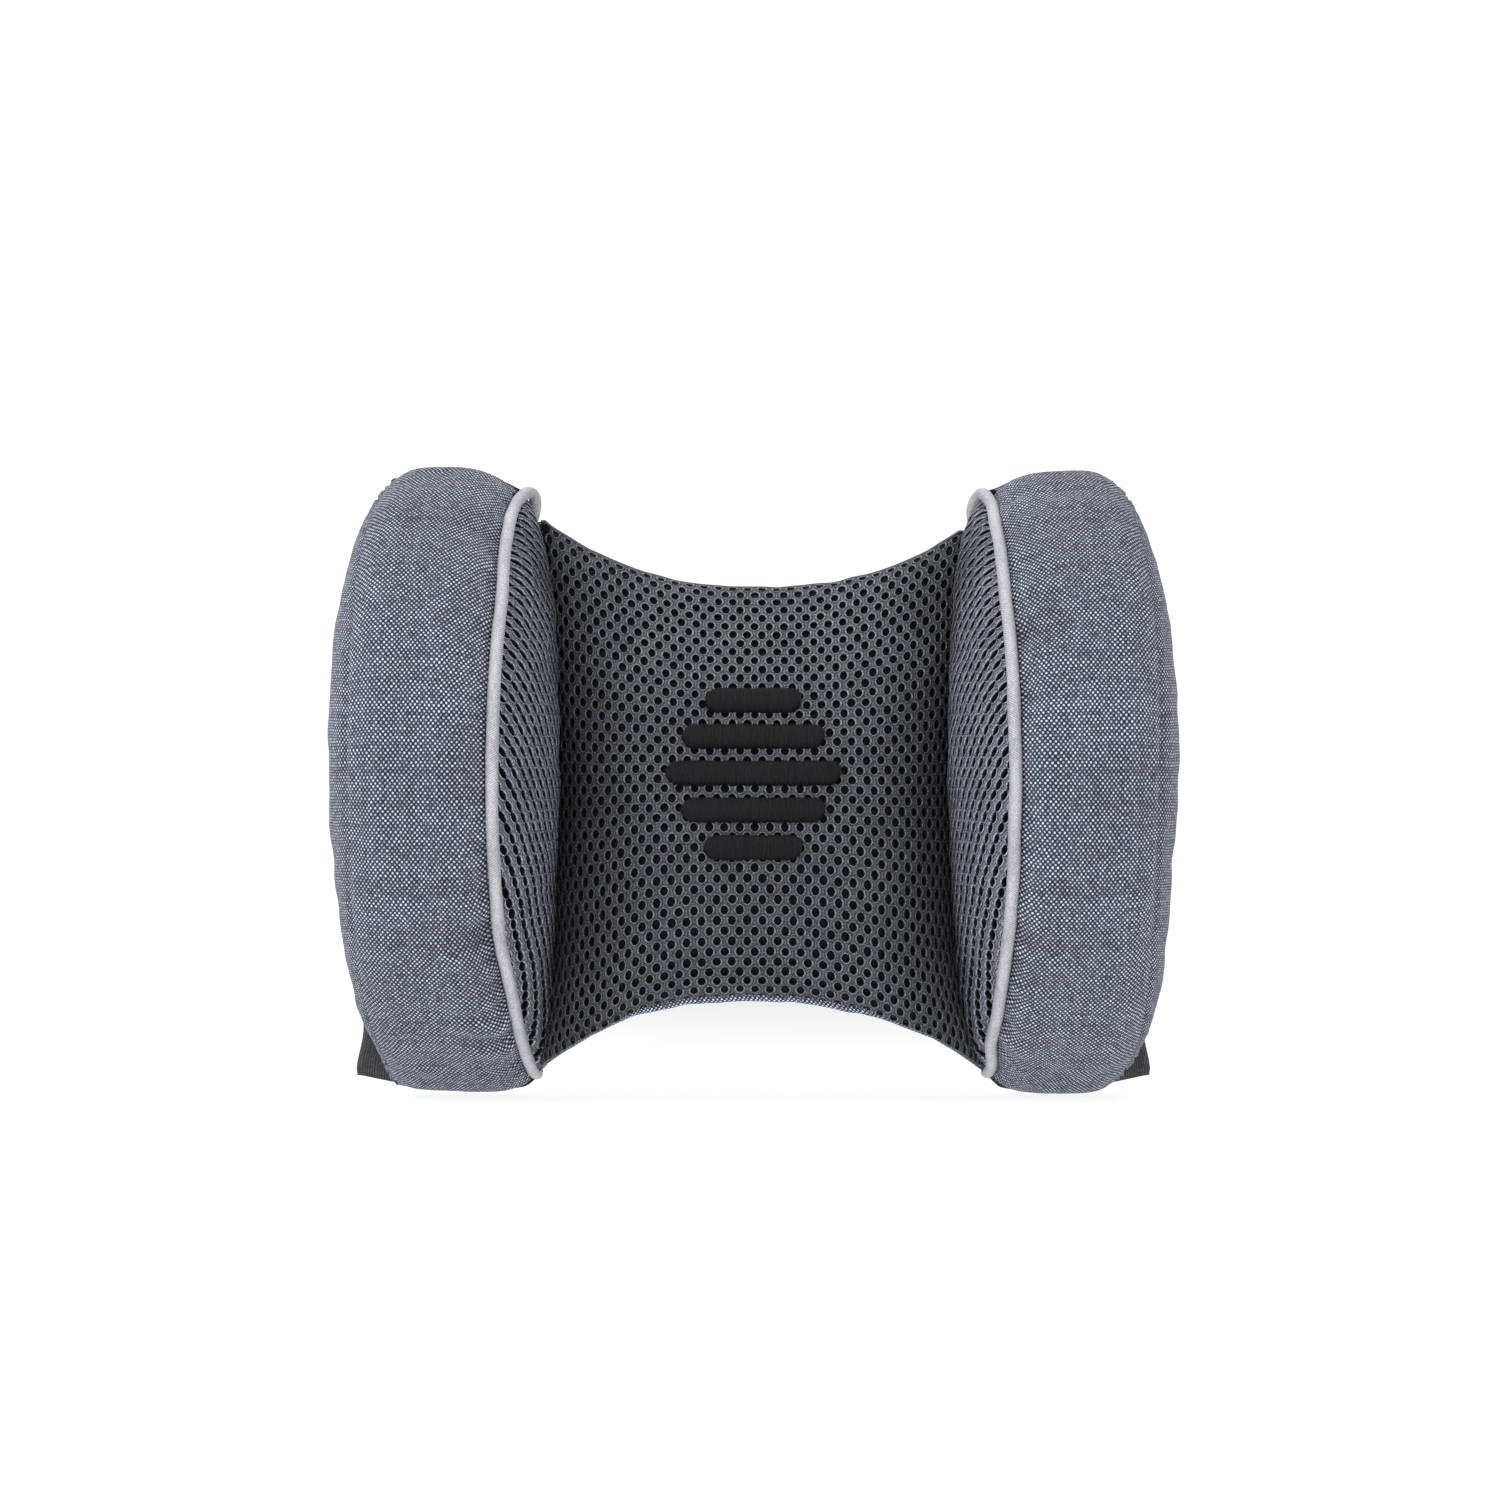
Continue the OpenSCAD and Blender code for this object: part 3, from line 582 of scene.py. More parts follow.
def simulate(grid, pin, grow, bend, cap, scale=0.1):
    """Lets a closed cover swell over its seams for twenty frames.
    pin holds weights, grow is how much larger the cloth is cut than its seams, cap limits
    the movement in mm and scale is the size of a mm in the simulation."""
    points, pin = grid.reshape(-1, 3), pin.ravel()
    mesh, _ = new_mesh("sim", points, shell(*grid.shape[:2]), scale)
    cover = link("sim", mesh)
    group = cover.vertex_groups.new(name="pin")
    for weight in np.unique(np.round(pin, 3)):
        if weight > 0:
            held = np.where(np.abs(pin - weight) < 6e-4)[0]
            group.add([int(i) for i in held], float(weight), "REPLACE")
    cloth = cover.modifiers.new("cloth", "CLOTH")
    settings = dict(
        quality=5, mass=0.3, tension_stiffness=15, compression_stiffness=15,
        shear_stiffness=5, bending_stiffness=bend, tension_damping=6, compression_damping=6,
        shear_damping=6, air_damping=2.0, use_pressure=True, uniform_pressure_force=4.0,
        vertex_group_mass="pin", pin_stiffness=1.0, shrink_min=-grow, shrink_max=-grow)
    for key, value in settings.items():
        setattr(cloth.settings, key, value)
    cloth.settings.effector_weights.gravity = 0
    cloth.collision_settings.use_collision = False
    cloth.point_cache.frame_start, cloth.point_cache.frame_end = 1, 20
    scene = bpy.context.scene
    for k in range(1, 21):
        scene.frame_set(k)
    done = cover.evaluated_get(bpy.context.evaluated_depsgraph_get()).data
    out = np.zeros(len(points) * 3, np.float32)
    done.vertices.foreach_get("co", out)
    out = out.reshape(-1, 3).astype(float) / scale * TO_WORLD
    bpy.data.objects.remove(cover)
    bpy.data.meshes.remove(mesh)
    scene.frame_set(1)
    move = out - points
    length = np.linalg.norm(move, axis=1, keepdims=True)
    move = move * (np.tanh(length / cap) * cap / np.maximum(length, 1e-6))
    return (points + move).reshape(grid.shape)


def blur(grid, wrap):
    """Box blur, twice over, seven rows and four columns each way."""
    for _ in range(2):
        for axis, reach, around in ((0, 7, False), (1, 4, wrap)):
            margin = [(0, 0)] * grid.ndim
            margin[axis] = (reach, reach)
            total = running(np.pad(grid, margin, mode="wrap" if around else "edge"), axis)
            start = np.arange(grid.shape[axis])
            width = 2 * reach + 1
            high = np.take(total, start + width, axis=axis)
            grid = (high - np.take(total, start, axis=axis)) / width
    return grid


def refine(rest, out, broad, folds, steps, wrap=False):
    """Keeps a share of the broad swelling and strengthens the folds that came with it.
    steps counts the grid steps to the nearest seam, where the cloth stays put."""
    move = out - rest
    slow = blur(move, wrap)
    full = slow * broad + (move - slow) * folds
    free = smooth(steps, 0, 5)[..., None]
    return rest + full * free + move * 0.5 * (1 - free)


def from_ends(n):
    """Steps to the nearer end of n places."""
    return np.minimum(np.arange(n), n - 1 - np.arange(n))


# ------------------------------------------------------------------ bolster shape
# Shapes are right-hand ones and are mirrored when the piece is made. side is 1 on the
# right and -1 on the left; the two bolsters differ a little.

def off_middle(across):
    return np.abs(2 * across / BAND_W - 1)


def crown(across, side):
    """Height of the band's upper end across its width."""
    share = across / BAND_W
    top = TOP_Z + 5.6 * across / BAND_W + 5.6 * (1 - np.abs(2 * share ** 1.12 - 1) ** 2.5)
    if side > 0:
        return (top - 0.8 * smooth(across, 0, 6) - 0.7 * smooth(across, 20, 32)
                + 0.8 * smooth(across, 44, 50))
    return top - 0.3 + 0.9 * bell(across, 20, 8)


def foot(across, side):
    """Depth of the band's lower end below the middle, across its width."""
    low = FOOT_Z + 3.0 * (1 - np.exp(-across / 3.5)) + 1.2 * (1 - off_middle(across) ** 2)
    if side > 0:
        return low + 1.8 * smooth(across, 0.5, 6) * (1 - 0.75 * smooth(across, 38, 48))
    return (low + 0.3 + 1.3 * smooth(across, 0, 5) * (1 - smooth(across, 18, 42))
            + 0.9 * smooth(across, 46, 51))


def seam_z(across, angle, side=1):
    """Height of a place on the band, for an angle up the side."""
    return np.where(angle > 0, crown(across, side), foot(across, side)) * np.sin(angle)


# At each height: how far the outer seam stands off its arc, and how full the outer
# panel is, by side.
OUT_Z = np.array([-118, -104, -88, -74, -56, -30, 5, 39, 57, 75, 94, 104, 114.0])
OUT_SHIFT = {
    -1: [-0.6, -3.0, -0.2, -0.3, -0.5, -1.1, -1.2, -0.1, 0.7, 1.5, 1.6, 0.9, 0.1],
    1: [0.5, 1.9, 1.4, 0.1, -0.8, -1.8, -1.6, -0.2, 0.6, 0.8, 1.2, 0.7, 0.1]}
OUT_FULL = {
    -1: [0, 0.4, 1.6, 5.6, 8.0, 10.3, 11.8, 10.5, 8.6, 5.8, 2.2, 0.3, 0],
    1: [0, 0.5, 5.1, 7.7, 9.2, 10.9, 11.7, 10.1, 7.8, 5.1, 1.5, 0.3, 0]}


def by_height(angle, table):
    z = seam_z(BAND_W, angle)
    return sum(np.interp(z + shift, OUT_Z, table) for shift in (-8, -4, 0, 4, 8)) / 5


def seam_depth(across, angle):
    return (SEAM_D + 6.0 * (1 - off_middle(across) ** 3)) * np.cos(angle) ** 1.5


def band_point(across, angle, side):
    depth = np.maximum(seam_depth(across, angle), 0.4)
    x = (SEAM_X + across + lean(depth)
         + by_height(angle, OUT_SHIFT[side]) * smooth(across, 10, BAND_W))
    return join(x, depth, seam_z(across, angle, side))


def side_depth(share, across, angle):
    return LIFT + share * (np.maximum(seam_depth(across, angle), LIFT + 0.1) - LIFT)


def outer_point(share, angle, side):
    """Place on the outer panel; share runs from the back to the seam."""
    depth = side_depth(share, BAND_W, angle)
    swell = np.maximum(np.sin(PI * share ** 0.95), 0) ** 0.9
    x = (OUTER_X + by_height(angle, OUT_FULL[side]) * swell + lean(depth)
         + by_height(angle, OUT_SHIFT[side]) * smooth(share, 0, 0.5))
    return join(x, depth, seam_z(BAND_W, angle, side))


def inner_point(share, angle, side):
    """Place on the inner face, which is fullest at share 'peak'."""
    depth = side_depth(share, 0.0, angle)
    fade = np.cos(angle) ** np.where(angle > 0, 1.15, 0.8 if side < 0 else 1.1)
    peak = 0.42
    puff = np.where(share > peak, 1 - np.clip((share - peak) / (1 - peak), 0, 1) ** 1.9,
                    np.sin(PI / 2 * np.clip(share / peak, 0, 1)) ** 0.8)
    return join(SEAM_X - 16.6 * puff * fade + lean(depth), depth, seam_z(0.0, angle, side))


# rows up a bolster, and columns round it across each panel
ROWS = 125
N_INNER, N_BAND, N_OUTER, N_BACK = 26, 26, 24, 8
ANGLES = np.radians(np.linspace(-END_ANGLE, END_ANGLE, ROWS))
SEAM_IN_COL = N_INNER - 1
SEAM_OUT_COL = SEAM_IN_COL + N_BAND - 1
OUTER_END_COL = SEAM_OUT_COL + N_OUTER - 1
RING_COLS = OUTER_END_COL + N_BACK + 1


def cut_shape(side):
    """Cut shape of a bolster's cover: rows up its side, columns round it."""
    angle = ANGLES[:, None]
    back_z = 0.5 * (seam_z(0.0, angle, side) + seam_z(BAND_W, angle, side))
    return np.concatenate([
        inner_point(np.linspace(0, 1, N_INNER)[None], angle, side)[:, :-1],
        band_point(np.linspace(0, BAND_W, N_BAND)[None], angle, side),
        outer_point(np.linspace(1, 0, N_OUTER)[None], angle, side)[:, 1:],
        join(np.linspace(OUTER_X, SEAM_X, N_BACK + 2)[None, 1:-1], LIFT, back_z),
    ], 1)


def swollen_cover(side):
    """Swollen cover of a bolster as a grid of rows by ring columns."""
    grid = cut_shape(side)
    seed = 11 if side > 0 else 47
    rows = np.arange(ROWS)[:, None] * 2.9
    cols = np.arange(RING_COLS)[None] * 2.6
    wobble = 0.5 * noise(rows, cols, 9.0, seed) + 0.5 * noise(rows, cols, 21.0, seed + 3)
    pin = np.zeros((ROWS, RING_COLS))
    pin[:, [0, SEAM_IN_COL, SEAM_OUT_COL]] = 1
    pin[:, OUTER_END_COL:] = 1
    pin[:2] = pin[-2:] = 1
    grid = grid + -normals(grid) * wobble[..., None] * (pin == 0)[..., None]
    out = simulate(grid, pin, grow=0.055, bend=0.06, cap=5.0)
    seams = (0, SEAM_IN_COL, SEAM_OUT_COL, OUTER_END_COL)
    steps = np.min([np.abs(np.arange(RING_COLS) - col) for col in seams], axis=0)
    steps = np.minimum(steps[None], from_ends(ROWS)[:, None])
    return refine(grid, out, broad=0.35, folds=1.5, steps=steps, wrap=True)


def settle(grid, side):
    """The ends of the inner seam stand off their arc, and not alike on the two sides."""
    x, depth, z = grid[..., 0], grid[..., 1], grid[..., 2]
    if side < 0:
        amount = (2.7 * smooth(z, 60, 97)
                  - 2.3 * smooth(-z, 55, 85) * (1 - 0.4 * smooth(-z, 108, 116)))
    else:
        amount = 1.6 * smooth(z, 60, 97) + 2.8 * smooth(z, 98, 108) + 5.3 * smooth(-z, 98, 116)
    grid = grid.copy()
    grid[..., 0] = x + amount * np.exp(-(((x - SEAM_X - lean(depth)) / 20.0) ** 2))
    return grid


# ------------------------------------------------------------------ air mesh

HALF, QUARTER = HOLE_PITCH / 2, HOLE_PITCH / 4
# outline of a cell round its hole: (across, up)
CELL = np.array([
    (HALF, 0.925), (QUARTER, 1.925), (0, 2.925), (-QUARTER, 1.925), (-HALF, 0.925), (-HALF, 0),
    (-HALF, -0.925), (-QUARTER, -1.925), (0, -2.925), (QUARTER, -1.925), (HALF, -0.925),
    (HALF, 0)])


def open_mesh(cells, to_grid, grid, normal, seed, hole, shear=0.0):
    """Air mesh: one cell of knitted loops per hole, as points, faces, uv and rim.
    to_grid turns flat places into grid places; hole holds a hole's half sizes. rim is 0
    on the line between two cells, 1 at the hole's rim and 2 at its foot."""
    rng = np.random.default_rng(seed)
    angle = np.arctan2(CELL[:, 1] / 1.15, CELL[:, 0])
    n = len(cells)
    centre = cells[:, None, :]
    stretch = 1 + rng.uniform(-0.10, 0.06, (n, 1, 2))
    shift = rng.uniform(-0.13, 0.13, (n, 1, 2))
    edge = (np.stack([np.cos(angle), np.sin(angle)], 1) * np.array(hole))[None] * stretch
    edge = edge + edge[..., 1:] * np.array([shear, 0.0])
    rings = [  # places, height above the grid, rim
        (centre + CELL[None], -0.22, 0.0),
        (centre + shift * 0.6 + CELL[None] * 0.5 + edge * 0.5, 0.14, 0.5),
        (centre + shift + edge * 1.05, 0.02, 1.0),
        (centre + shift + edge * 0.93, -0.42, 1.4),
        (centre + shift + edge * 0.97, -1.9, 2.0),
    ]
    points, uvs, rims = [], [], []
    for places, height, rim in rings:
        flat = places.reshape(-1, 2)
        row, col = to_grid(flat[:, 0], flat[:, 1])
        out = lookup(normal, row, col)
        out /= np.maximum(np.linalg.norm(out, axis=1, keepdims=True), 1e-9)
        wobble = 0.07 * noise(flat[:, 0], flat[:, 1], 1.1, seed + 5)
        spot = lookup(grid, row, col) + out * (height + wobble)[:, None]
        points.append(spot.reshape(n, 12, 3))
        uvs.append(flat.reshape(n, 12, 2))
        rims.append(np.full((n, 12), rim))
    one = quads(len(rings), 12, True)
    faces = (one[None] + (np.arange(n) * 12 * len(rings))[:, None, None]).reshape(-1, 4)
    return (np.stack(points, 1).reshape(-1, 3), faces, np.stack(uvs, 1).reshape(-1, 2),
            np.stack(rims, 1).ravel())


# ------------------------------------------------------------------ bolster pieces

def gather_strength(z, side):
    """How strongly the band is gathered along its inner and its outer seam."""
    if side < 0:
        return (0.25 + 1.3 * smooth(-z, 25, 60) * (1 - smooth(-z, 108, 117))
                + 0.35 * bell(z, 75, 25), 0.35 + 0.5 * bell(z, -60, 35))
    return (0.3 + 0.9 * bell(z, 62, 26) + 0.35 * bell(z, -70, 30),
            0.35 + 0.9 * bell(z, -30, 32))


def flat_ends(run):
    """0 at both ends of a run measured from its middle, 1 between them."""
    return smooth(np.abs(run), run.max() - 2, run.max() - 14)


def band_cloth(side, tag, seed, band, normal, run, tuck_out):
    """Front band; run is the length up its middle, tuck_out its pull at the outer seam."""
    across = np.linspace(0, BAND_W, band.shape[1])[None]
    from_out = BAND_W - across
    tuck_in = -normal[:, :1] * 0.7 + np.array([-0.9, 0, 0])
    strong_in, strong_out = gather_strength(band[..., 2], side)
    slant = 0.35 * side
    wide = noise(run + slant * across, across * 0.22, 8.5, seed + 1)
    fine = noise(run - 0.25 * slant * across, across * 0.18, 5.2, seed + 2)
    raised = ((1.9 * wide + 0.9 * fine) * np.exp(-across / 12.0)
              * smooth(across, 0.0, 2.5) * strong_in)
    wide = noise(run - slant * from_out, across * 0.25, 6.0, seed + 3)
    fine = noise(run, across * 0.25, 3.4, seed + 4)
    raised = raised + ((0.8 * wide + 0.4 * fine) * np.exp(-from_out / 7.5)
                       * smooth(from_out, 0.0, 2.2) * strong_out)
    raised = raised + (0.45 * rough(run, across, 26.0, seed + 5)
                       * smooth(across, 0, 6) * smooth(from_out, 0, 6))
    raised = raised * flat_ends(run)
    band = band + normal * raised[..., None]
    band = (band + tuck_in * np.exp(-(across / 1.9) ** 2)[..., None]
            + tuck_out * np.exp(-(from_out / 1.7) ** 2)[..., None])
    band = flip(band, side)
    # painted shade: dark lines along both seams, puckers painted light on their crests and
    # shaded in their dips, and a darker upper part, more so on the right
    tone = (0.6 * np.exp(-((across - 0.2) / 0.9) ** 2) + 0.12 * np.exp(-(from_out / 0.7) ** 2)
            - 0.13 * np.clip(raised, -1.3, 1.3))
    tone = tone + (0.07 if side > 0 else 0.04) * smooth(band[..., 2], 35, 85)
    sheet(tag + "_band_cloth", "grey_woven", tag + "_band", band, (0, 1, 0),
          join(across, run), GREY_WEAVE, tone=tone)


def outer_cloth(side, tag, seed, panel, normal, run, tuck, strong):
    """Outer panel; strong is the strength of the gathers along its front seam."""
    across = arcs(panel, 1)
    wide = noise(run + 0.3 * across, across * 0.2, 7.0, seed + 6)
    fine = noise(run, across * 0.25, 3.4, seed + 4)
    raised = ((0.45 * wide + 0.2 * fine) * np.exp(-across / 8.0) * smooth(across, 0, 2.2)
              * (0.35 + 0.5 * (strong - 0.3)))
    raised += 0.3 * rough(run, across, 24.0, seed + 7) * smooth(across, 0, 6)
    panel = (panel + normal * (raised * flat_ends(run))[..., None]
             + tuck * np.exp(-(across / 1.7) ** 2)[..., None])
    # painted shade: the right panel darker overall than the left, a dark line along the front
    # seam, and puckers painted light on their crests and shaded in their dips
    tone = ((0.10 if side > 0 else 0.05) + 0.12 * np.exp(-(across / 0.7) ** 2)
            - 0.1 * np.clip(raised, -1.2, 1.2))
    sheet(tag + "_outer_cloth", "grey_woven", tag + "_outer_panel", flip(panel, side),
          (side, 0, 0), join(BAND_W + across, run), GREY_WEAVE, tone=tone)


def inner_lining(side, tag, face, normal):
    """Dark layer behind the open mesh of the inner face."""
    back = flip((face - normal * 2.4)[9:-9, 1:-2], side)
    sheet(tag + "_inner_lining", "spacer_mesh", tag + "_inner_mesh", back, (-side, 0, 0),
          join(arcs(back, 1), back[..., 2]), LINING)


def inner_airmesh(side, tag, seed, face, normal):
    def reach(z):
        return np.where(z > 0, TOP_Z, FOOT_Z)

    def to_grid(depth, z):
        angle = np.arcsin(np.clip(z / reach(z), -0.9985, 0.9985))
        deepest = np.maximum(SEAM_D * np.cos(angle) ** 1.5, LIFT + 0.1)
        share = np.clip((depth - LIFT) / (deepest - LIFT), 0, 0.985)
        row = (np.degrees(angle) + END_ANGLE) / (2 * END_ANGLE) * (len(face) - 1)
        return row, share * (face.shape[1] - 1)

    def inside(depth, z):
        cosine = np.sqrt(np.maximum(0, 1 - np.clip(z / reach(z), -1, 1) ** 2))
        return depth < SEAM_D * cosine ** 1.5 - 0.3 and abs(z) < reach(z) - 0.6

    cells = []
    for i in range(-30, 31):
        z = i * ROW_PITCH + 1.1
        for j in range(18):
            depth = 2.0 + j * HOLE_PITCH + (HALF if i % 2 else 0.0)
            if inside(depth, z):
                cells.append((depth, z))
    points, faces, uv, rim = open_mesh(np.array(cells), to_grid, face, normal, seed,
                                       hole=(1.38, 2.05), shear=0.5)
    points = flip(points, side)
    depth = np.abs(points[:, 1])
    # painted shade: the crease beside the pad, and the face near the back, are darkened
    painted_crease_shade = 0.62 * (1 - smooth(depth, 26, 52)) * (1 - smooth(np.abs(points[:, 2]), 70, 105))
    part(tag + "_inner_airmesh", "spacer_mesh", None, points, faces[:, ::side], uv,
         SIDE_STRAND_PAINTED_LIGHT, tone=painted_crease_shade + 0.25 * (1 - smooth(depth, 4, 30)), rim=rim)


def bolster_back(side, tag, seed):
    """Back panel, with a little give inwards."""
    x = np.linspace(0, BAND_W, 44)[None]
    up = np.linspace(-1, 1, 170)[:, None]
    z = np.where(up > 0, up * crown(x, side), up * foot(x, side))
    edge = np.minimum(np.minimum(x, BAND_W - x), (1 - np.abs(up)) * 115)
    dip = (0.1 + 1.5 * np.exp(-(edge / 2.2) ** 2)
           + 0.5 * (0.5 + 0.5 * rough(x, z, 22.0, seed + 9))
           + 0.25 * np.exp(-edge / 6) * np.abs(noise(x + z, x - z, 4.5, seed + 10)))
    panel = flip(settle(join(SEAM_X + x, dip, z), side), side)
    sheet(tag + "_back_cloth", "back_cloth", tag + "_back_panel", panel, (0, -1, 0),
          join(x, z), BACK_WEAVE)


def bolster_foam(side, tag, seed):
    rows, cols = 60, 56
    core = resample(settle(cut_shape(side), side)[:, :OUTER_END_COL + 1], rows, cols)
    centre = core.mean(axis=1, keepdims=True)
    core = centre + (core - centre) * 0.86
    core[..., 2] *= 0.95
    core[..., 1] = np.maximum(core[..., 1], 4.5)
    i, j = np.arange(rows)[:, None], np.arange(cols)[None]
    core += 0.4 * rough(i * 3.0, j * 3.0, 9.0, seed + 12)[..., None]
    part(tag + "_foam_core", "foam", tag + "_bolster_foam", flip(core, side),
         turned(shell(rows, cols), side), join(j * 3.0, i * 4.0), FOAM)


# Where the cord turns over at its upper end and goes down behind the inner face, by
# side: (x, depth, z).
CORD_TURN = {
    -1: [(90.2, 17.0, 102.4), (87.9, 10.0, 106.8), (85.5, 5.5, 108.1), (83.9, 3.4, 106.4),
         (83.7, 2.6, 103.4), (84.4, 2.2, 99.8), (85.2, 2.2, 96.5)],
    1: [(90.3, 17.0, 102.2), (88.9, 11.0, 105.9), (87.2, 7.0, 107.6), (85.4, 4.4, 105.9),
        (84.2, 3.0, 102.8), (84.1, 2.4, 99.6), (84.9, 2.2, 96.2)]}
CORD_TOP, CORD_FOOT = 108.9, {-1: 115.2, 1: 114.6}


def piping(side, tag, seed):
    """Cord in the inner seam."""
    angle = np.radians(np.linspace(-86.5, 68.5, 560))
    depth = np.maximum((SEAM_D + 0.3) * np.cos(angle) ** 1.5, 0.6)
    z = np.where(angle > 0, CORD_TOP, CORD_FOOT[side]) * np.sin(angle)
    path = settle(join(82.4 + 10.8 * np.sqrt(depth / SEAM_D), depth, z), side)
    turn = np.concatenate([path[-60:-59], path[-30:-29], np.array(CORD_TURN[side], float)])
    turn = cubic(turn, np.linspace(0, len(turn) - 1, 130))
    path = np.concatenate([path[:-60], turn])
    for _ in range(14):
        path[-150:-1] = 0.25 * path[-151:-2] + 0.5 * path[-150:-1] + 0.25 * path[-149:]
    run = arcs(path, 0)
    path[:, 0] += 0.2 * noise(run, 0, 18.0, seed + 20)
    path[:, 1] += 0.2 * noise(run, 9, 14.0, seed + 21)
    radius = CORD_R * (1 + 0.035 * noise(run, 0, 5.0, seed + 22)
                       + 0.03 * noise(run, 4, 2.0, seed + 23))
    closing = np.sqrt(smooth(run, 0, 1.6) * smooth(run[-1] - run, 0, 1.6))
    points, faces, uv = tubes([path], radius * (0.04 + 0.96 * closing), sides=20)
    # crimps where the seam stitches pull the cord's cover down
    centre = path[:, None]
    offset = points.reshape(len(path), 21, 3) - centre
    outward = offset[..., 0] / CORD_R
    pull = np.cos(run / 2.9 * 2 * PI)[:, None] * np.clip(outward, 0, 1)
    points = centre + offset * (1 - 0.035 * pull[..., None])
    # painted shade down both sides of the cord, a little darker on the side away from the pad
    tone = 0.45 * np.clip(outward, 0, 1) ** 3 + 0.35 * np.clip(-outward, 0, 1) ** 3
    part(tag + "_piping_cord", "piping_tape", tag + "_piping", flip(points, side),
         faces[:, ::side], uv, PIPING, tone=tone)


def build_bolster(side):
    tag = "right" if side > 0 else "left"
    seed = 100 if side > 0 else 300
    cover = settle(swollen_cover(side), side)
    rows, cols = 430, 66
    band = resample(cover[:, SEAM_IN_COL:SEAM_OUT_COL + 1], rows, cols)
    panel = resample(cover[:, SEAM_OUT_COL:OUTER_END_COL + 1], rows, 40)
    band_out, panel_out = facing(band, 1), facing(panel, 0)
    run = arcs(band, 0)[:, cols // 2][:, None]
    run = run - run[rows // 2]
    # the outer seam is pulled inwards between the two cloths
    tuck = -(band_out[:, -1:] * 0.5 + panel_out[:, :1] * 0.5)
    tuck = tuck / np.maximum(np.linalg.norm(tuck, axis=-1, keepdims=True), 1e-6) * 0.55
    strong = gather_strength(band[:, -1:, 2], side)[1]
    band_cloth(side, tag, seed, band, band_out, run, tuck)
    outer_cloth(side, tag, seed, panel, panel_out, run, tuck, strong)
    face = resample(cover[:, :SEAM_IN_COL + 1], 220, 60)
    face_out = facing(face, 0, -1)
    inner_lining(side, tag, face, face_out)
    inner_airmesh(side, tag, seed, face, face_out)
    bolster_back(side, tag, seed)
    bolster_foam(side, tag, seed)
    piping(side, tag, seed)


build_bolster(1)
build_bolster(-1)


# ------------------------------------------------------------------ centre pad shape

def flare(x):
    return (np.abs(x) / (PAD_HALF_W - 7)) ** 2.4


def top_z(x):
    x = np.clip(x, -80.0, 79.0)
    shift = np.where(x > 0, 2.0 + 0.6 * np.abs(x) / PAD_HALF_W, 2.0)
    return 71.8 + 18.8 * flare(x - shift)


def low_z(x):
    return -81.0 - 20.0 * flare(x - 3.0 + 4.2 * smooth(x, -57, -36) - 3.0 * smooth(x, 44, 76))


# side profile of the pad: share of its height, depth
PROFILE_UP = np.array([0, .05, .12, .23, .32, .42, .75, .83, .91, .955, .98, .992, 1])
PROFILE_D = np.array([55.0, 60.8, 64, 66, 63.7, 58.4, 33, 26.07, 18.4, 13.6, 10.4, 8.2, 4.6])


def pad_depth(up):
    """Side profile of the pad, smoothed away from its ends."""
    soft = sum(0.2 * np.interp(up + shift, PROFILE_UP, PROFILE_D)
               for shift in (-0.03, -0.015, 0, 0.015, 0.03))
    return np.where((up < 0.02) | (up > 0.95), np.interp(up, PROFILE_UP, PROFILE_D), soft)


def pad_point(angle, up):
    cosine = np.cos(angle)
    x = PAD_HALF_W * np.sign(cosine) * np.abs(cosine) ** (2 / 3.5)
    # the lower corners run out to the foot of the bolsters' inner seams
    x = x + (np.where(x > 0, 8.5, -3.6) * (np.abs(x) / PAD_HALF_W) ** 4
             * np.clip(1 - up / 0.22, 0, 1) ** 2)
    # the upper corners run out a little too
    x = x + (np.sign(x) * 3.4 * (np.abs(x) / PAD_HALF_W) ** 4
             * np.clip((up - 0.8) / 0.2, 0, 1) ** 2)
    low = low_z(x)
    return join(x, LIFT + (pad_depth(up) - LIFT) * np.sin(angle), low + up * (top_z(x) - low))


def pad_face():
    """The pad's face, its normals, the length up its middle and the length across."""
    size = 84
    up = np.linspace(0, 1, size)[:, None]
    pad = pad_point(np.linspace(PI, 0, size)[None], up)
    rows, cols = np.arange(size)[:, None] * 2.0, np.arange(size)[None] * 2.6
    wobble = 0.35 * noise(rows, cols, 14.0, 71) + 0.5 * noise(rows, cols, 33.0, 72)
    pad = pad + facing(pad, 1) * wobble[..., None] * np.sin(PI * up)[..., None]
    # ten columns across the back close the cover
    share = np.linspace(1, 0, 12)[None, 1:-1, None]
    closed = np.concatenate([pad, pad[:, -1:] * share + pad[:, :1] * (1 - share)], 1)
    pin = np.zeros(closed.shape[:2])
    pin[:, 0] = pin[:, size - 1:] = 1
    pin[:1] = pin[-1:] = 1
    pin[:, 1:4] = pin[:, size - 4:size - 1] = 0.5
    out = simulate(closed, pin, grow=0.012, bend=0.8, cap=2.5)[:, :size]
    steps = np.minimum(from_ends(size)[:, None], from_ends(size)[None])
    pad = refine(pad, out, broad=0.5, folds=1.3, steps=steps)
    face = resample(pad, 220, 240)
    normal = facing(face, 1)
    up = arcs(face, 0)[:, 120]
    across = arcs(face, 1)
    across = across - across[:, 120:121]
    # small puckers along the bottom seam and the top edge
    pucker = (0.35 * noise(across, 3.0, 6.5, 81) * np.exp(-up / 6.0)[:, None]
              + 0.3 * noise(across, 8.0, 7.5, 82) * np.exp(-(up[-1] - up) / 6.0)[:, None])
    return face + normal * pucker[..., None], normal, up, across


FACE, FACE_OUT, FACE_UP, FACE_ACROSS = pad_face()


def column_at(table, values):
    """Fractional column at which each row of a rising table reaches its value."""
    j = np.clip((table < values[:, None]).sum(1) - 1, 0, table.shape[1] - 2)
    low = np.take_along_axis(table, j[:, None], 1)[:, 0]
    high = np.take_along_axis(table, j[:, None] + 1, 1)[:, 0]
    return j + np.clip((values - low) / np.maximum(high - low, 1e-6), 0, 1)


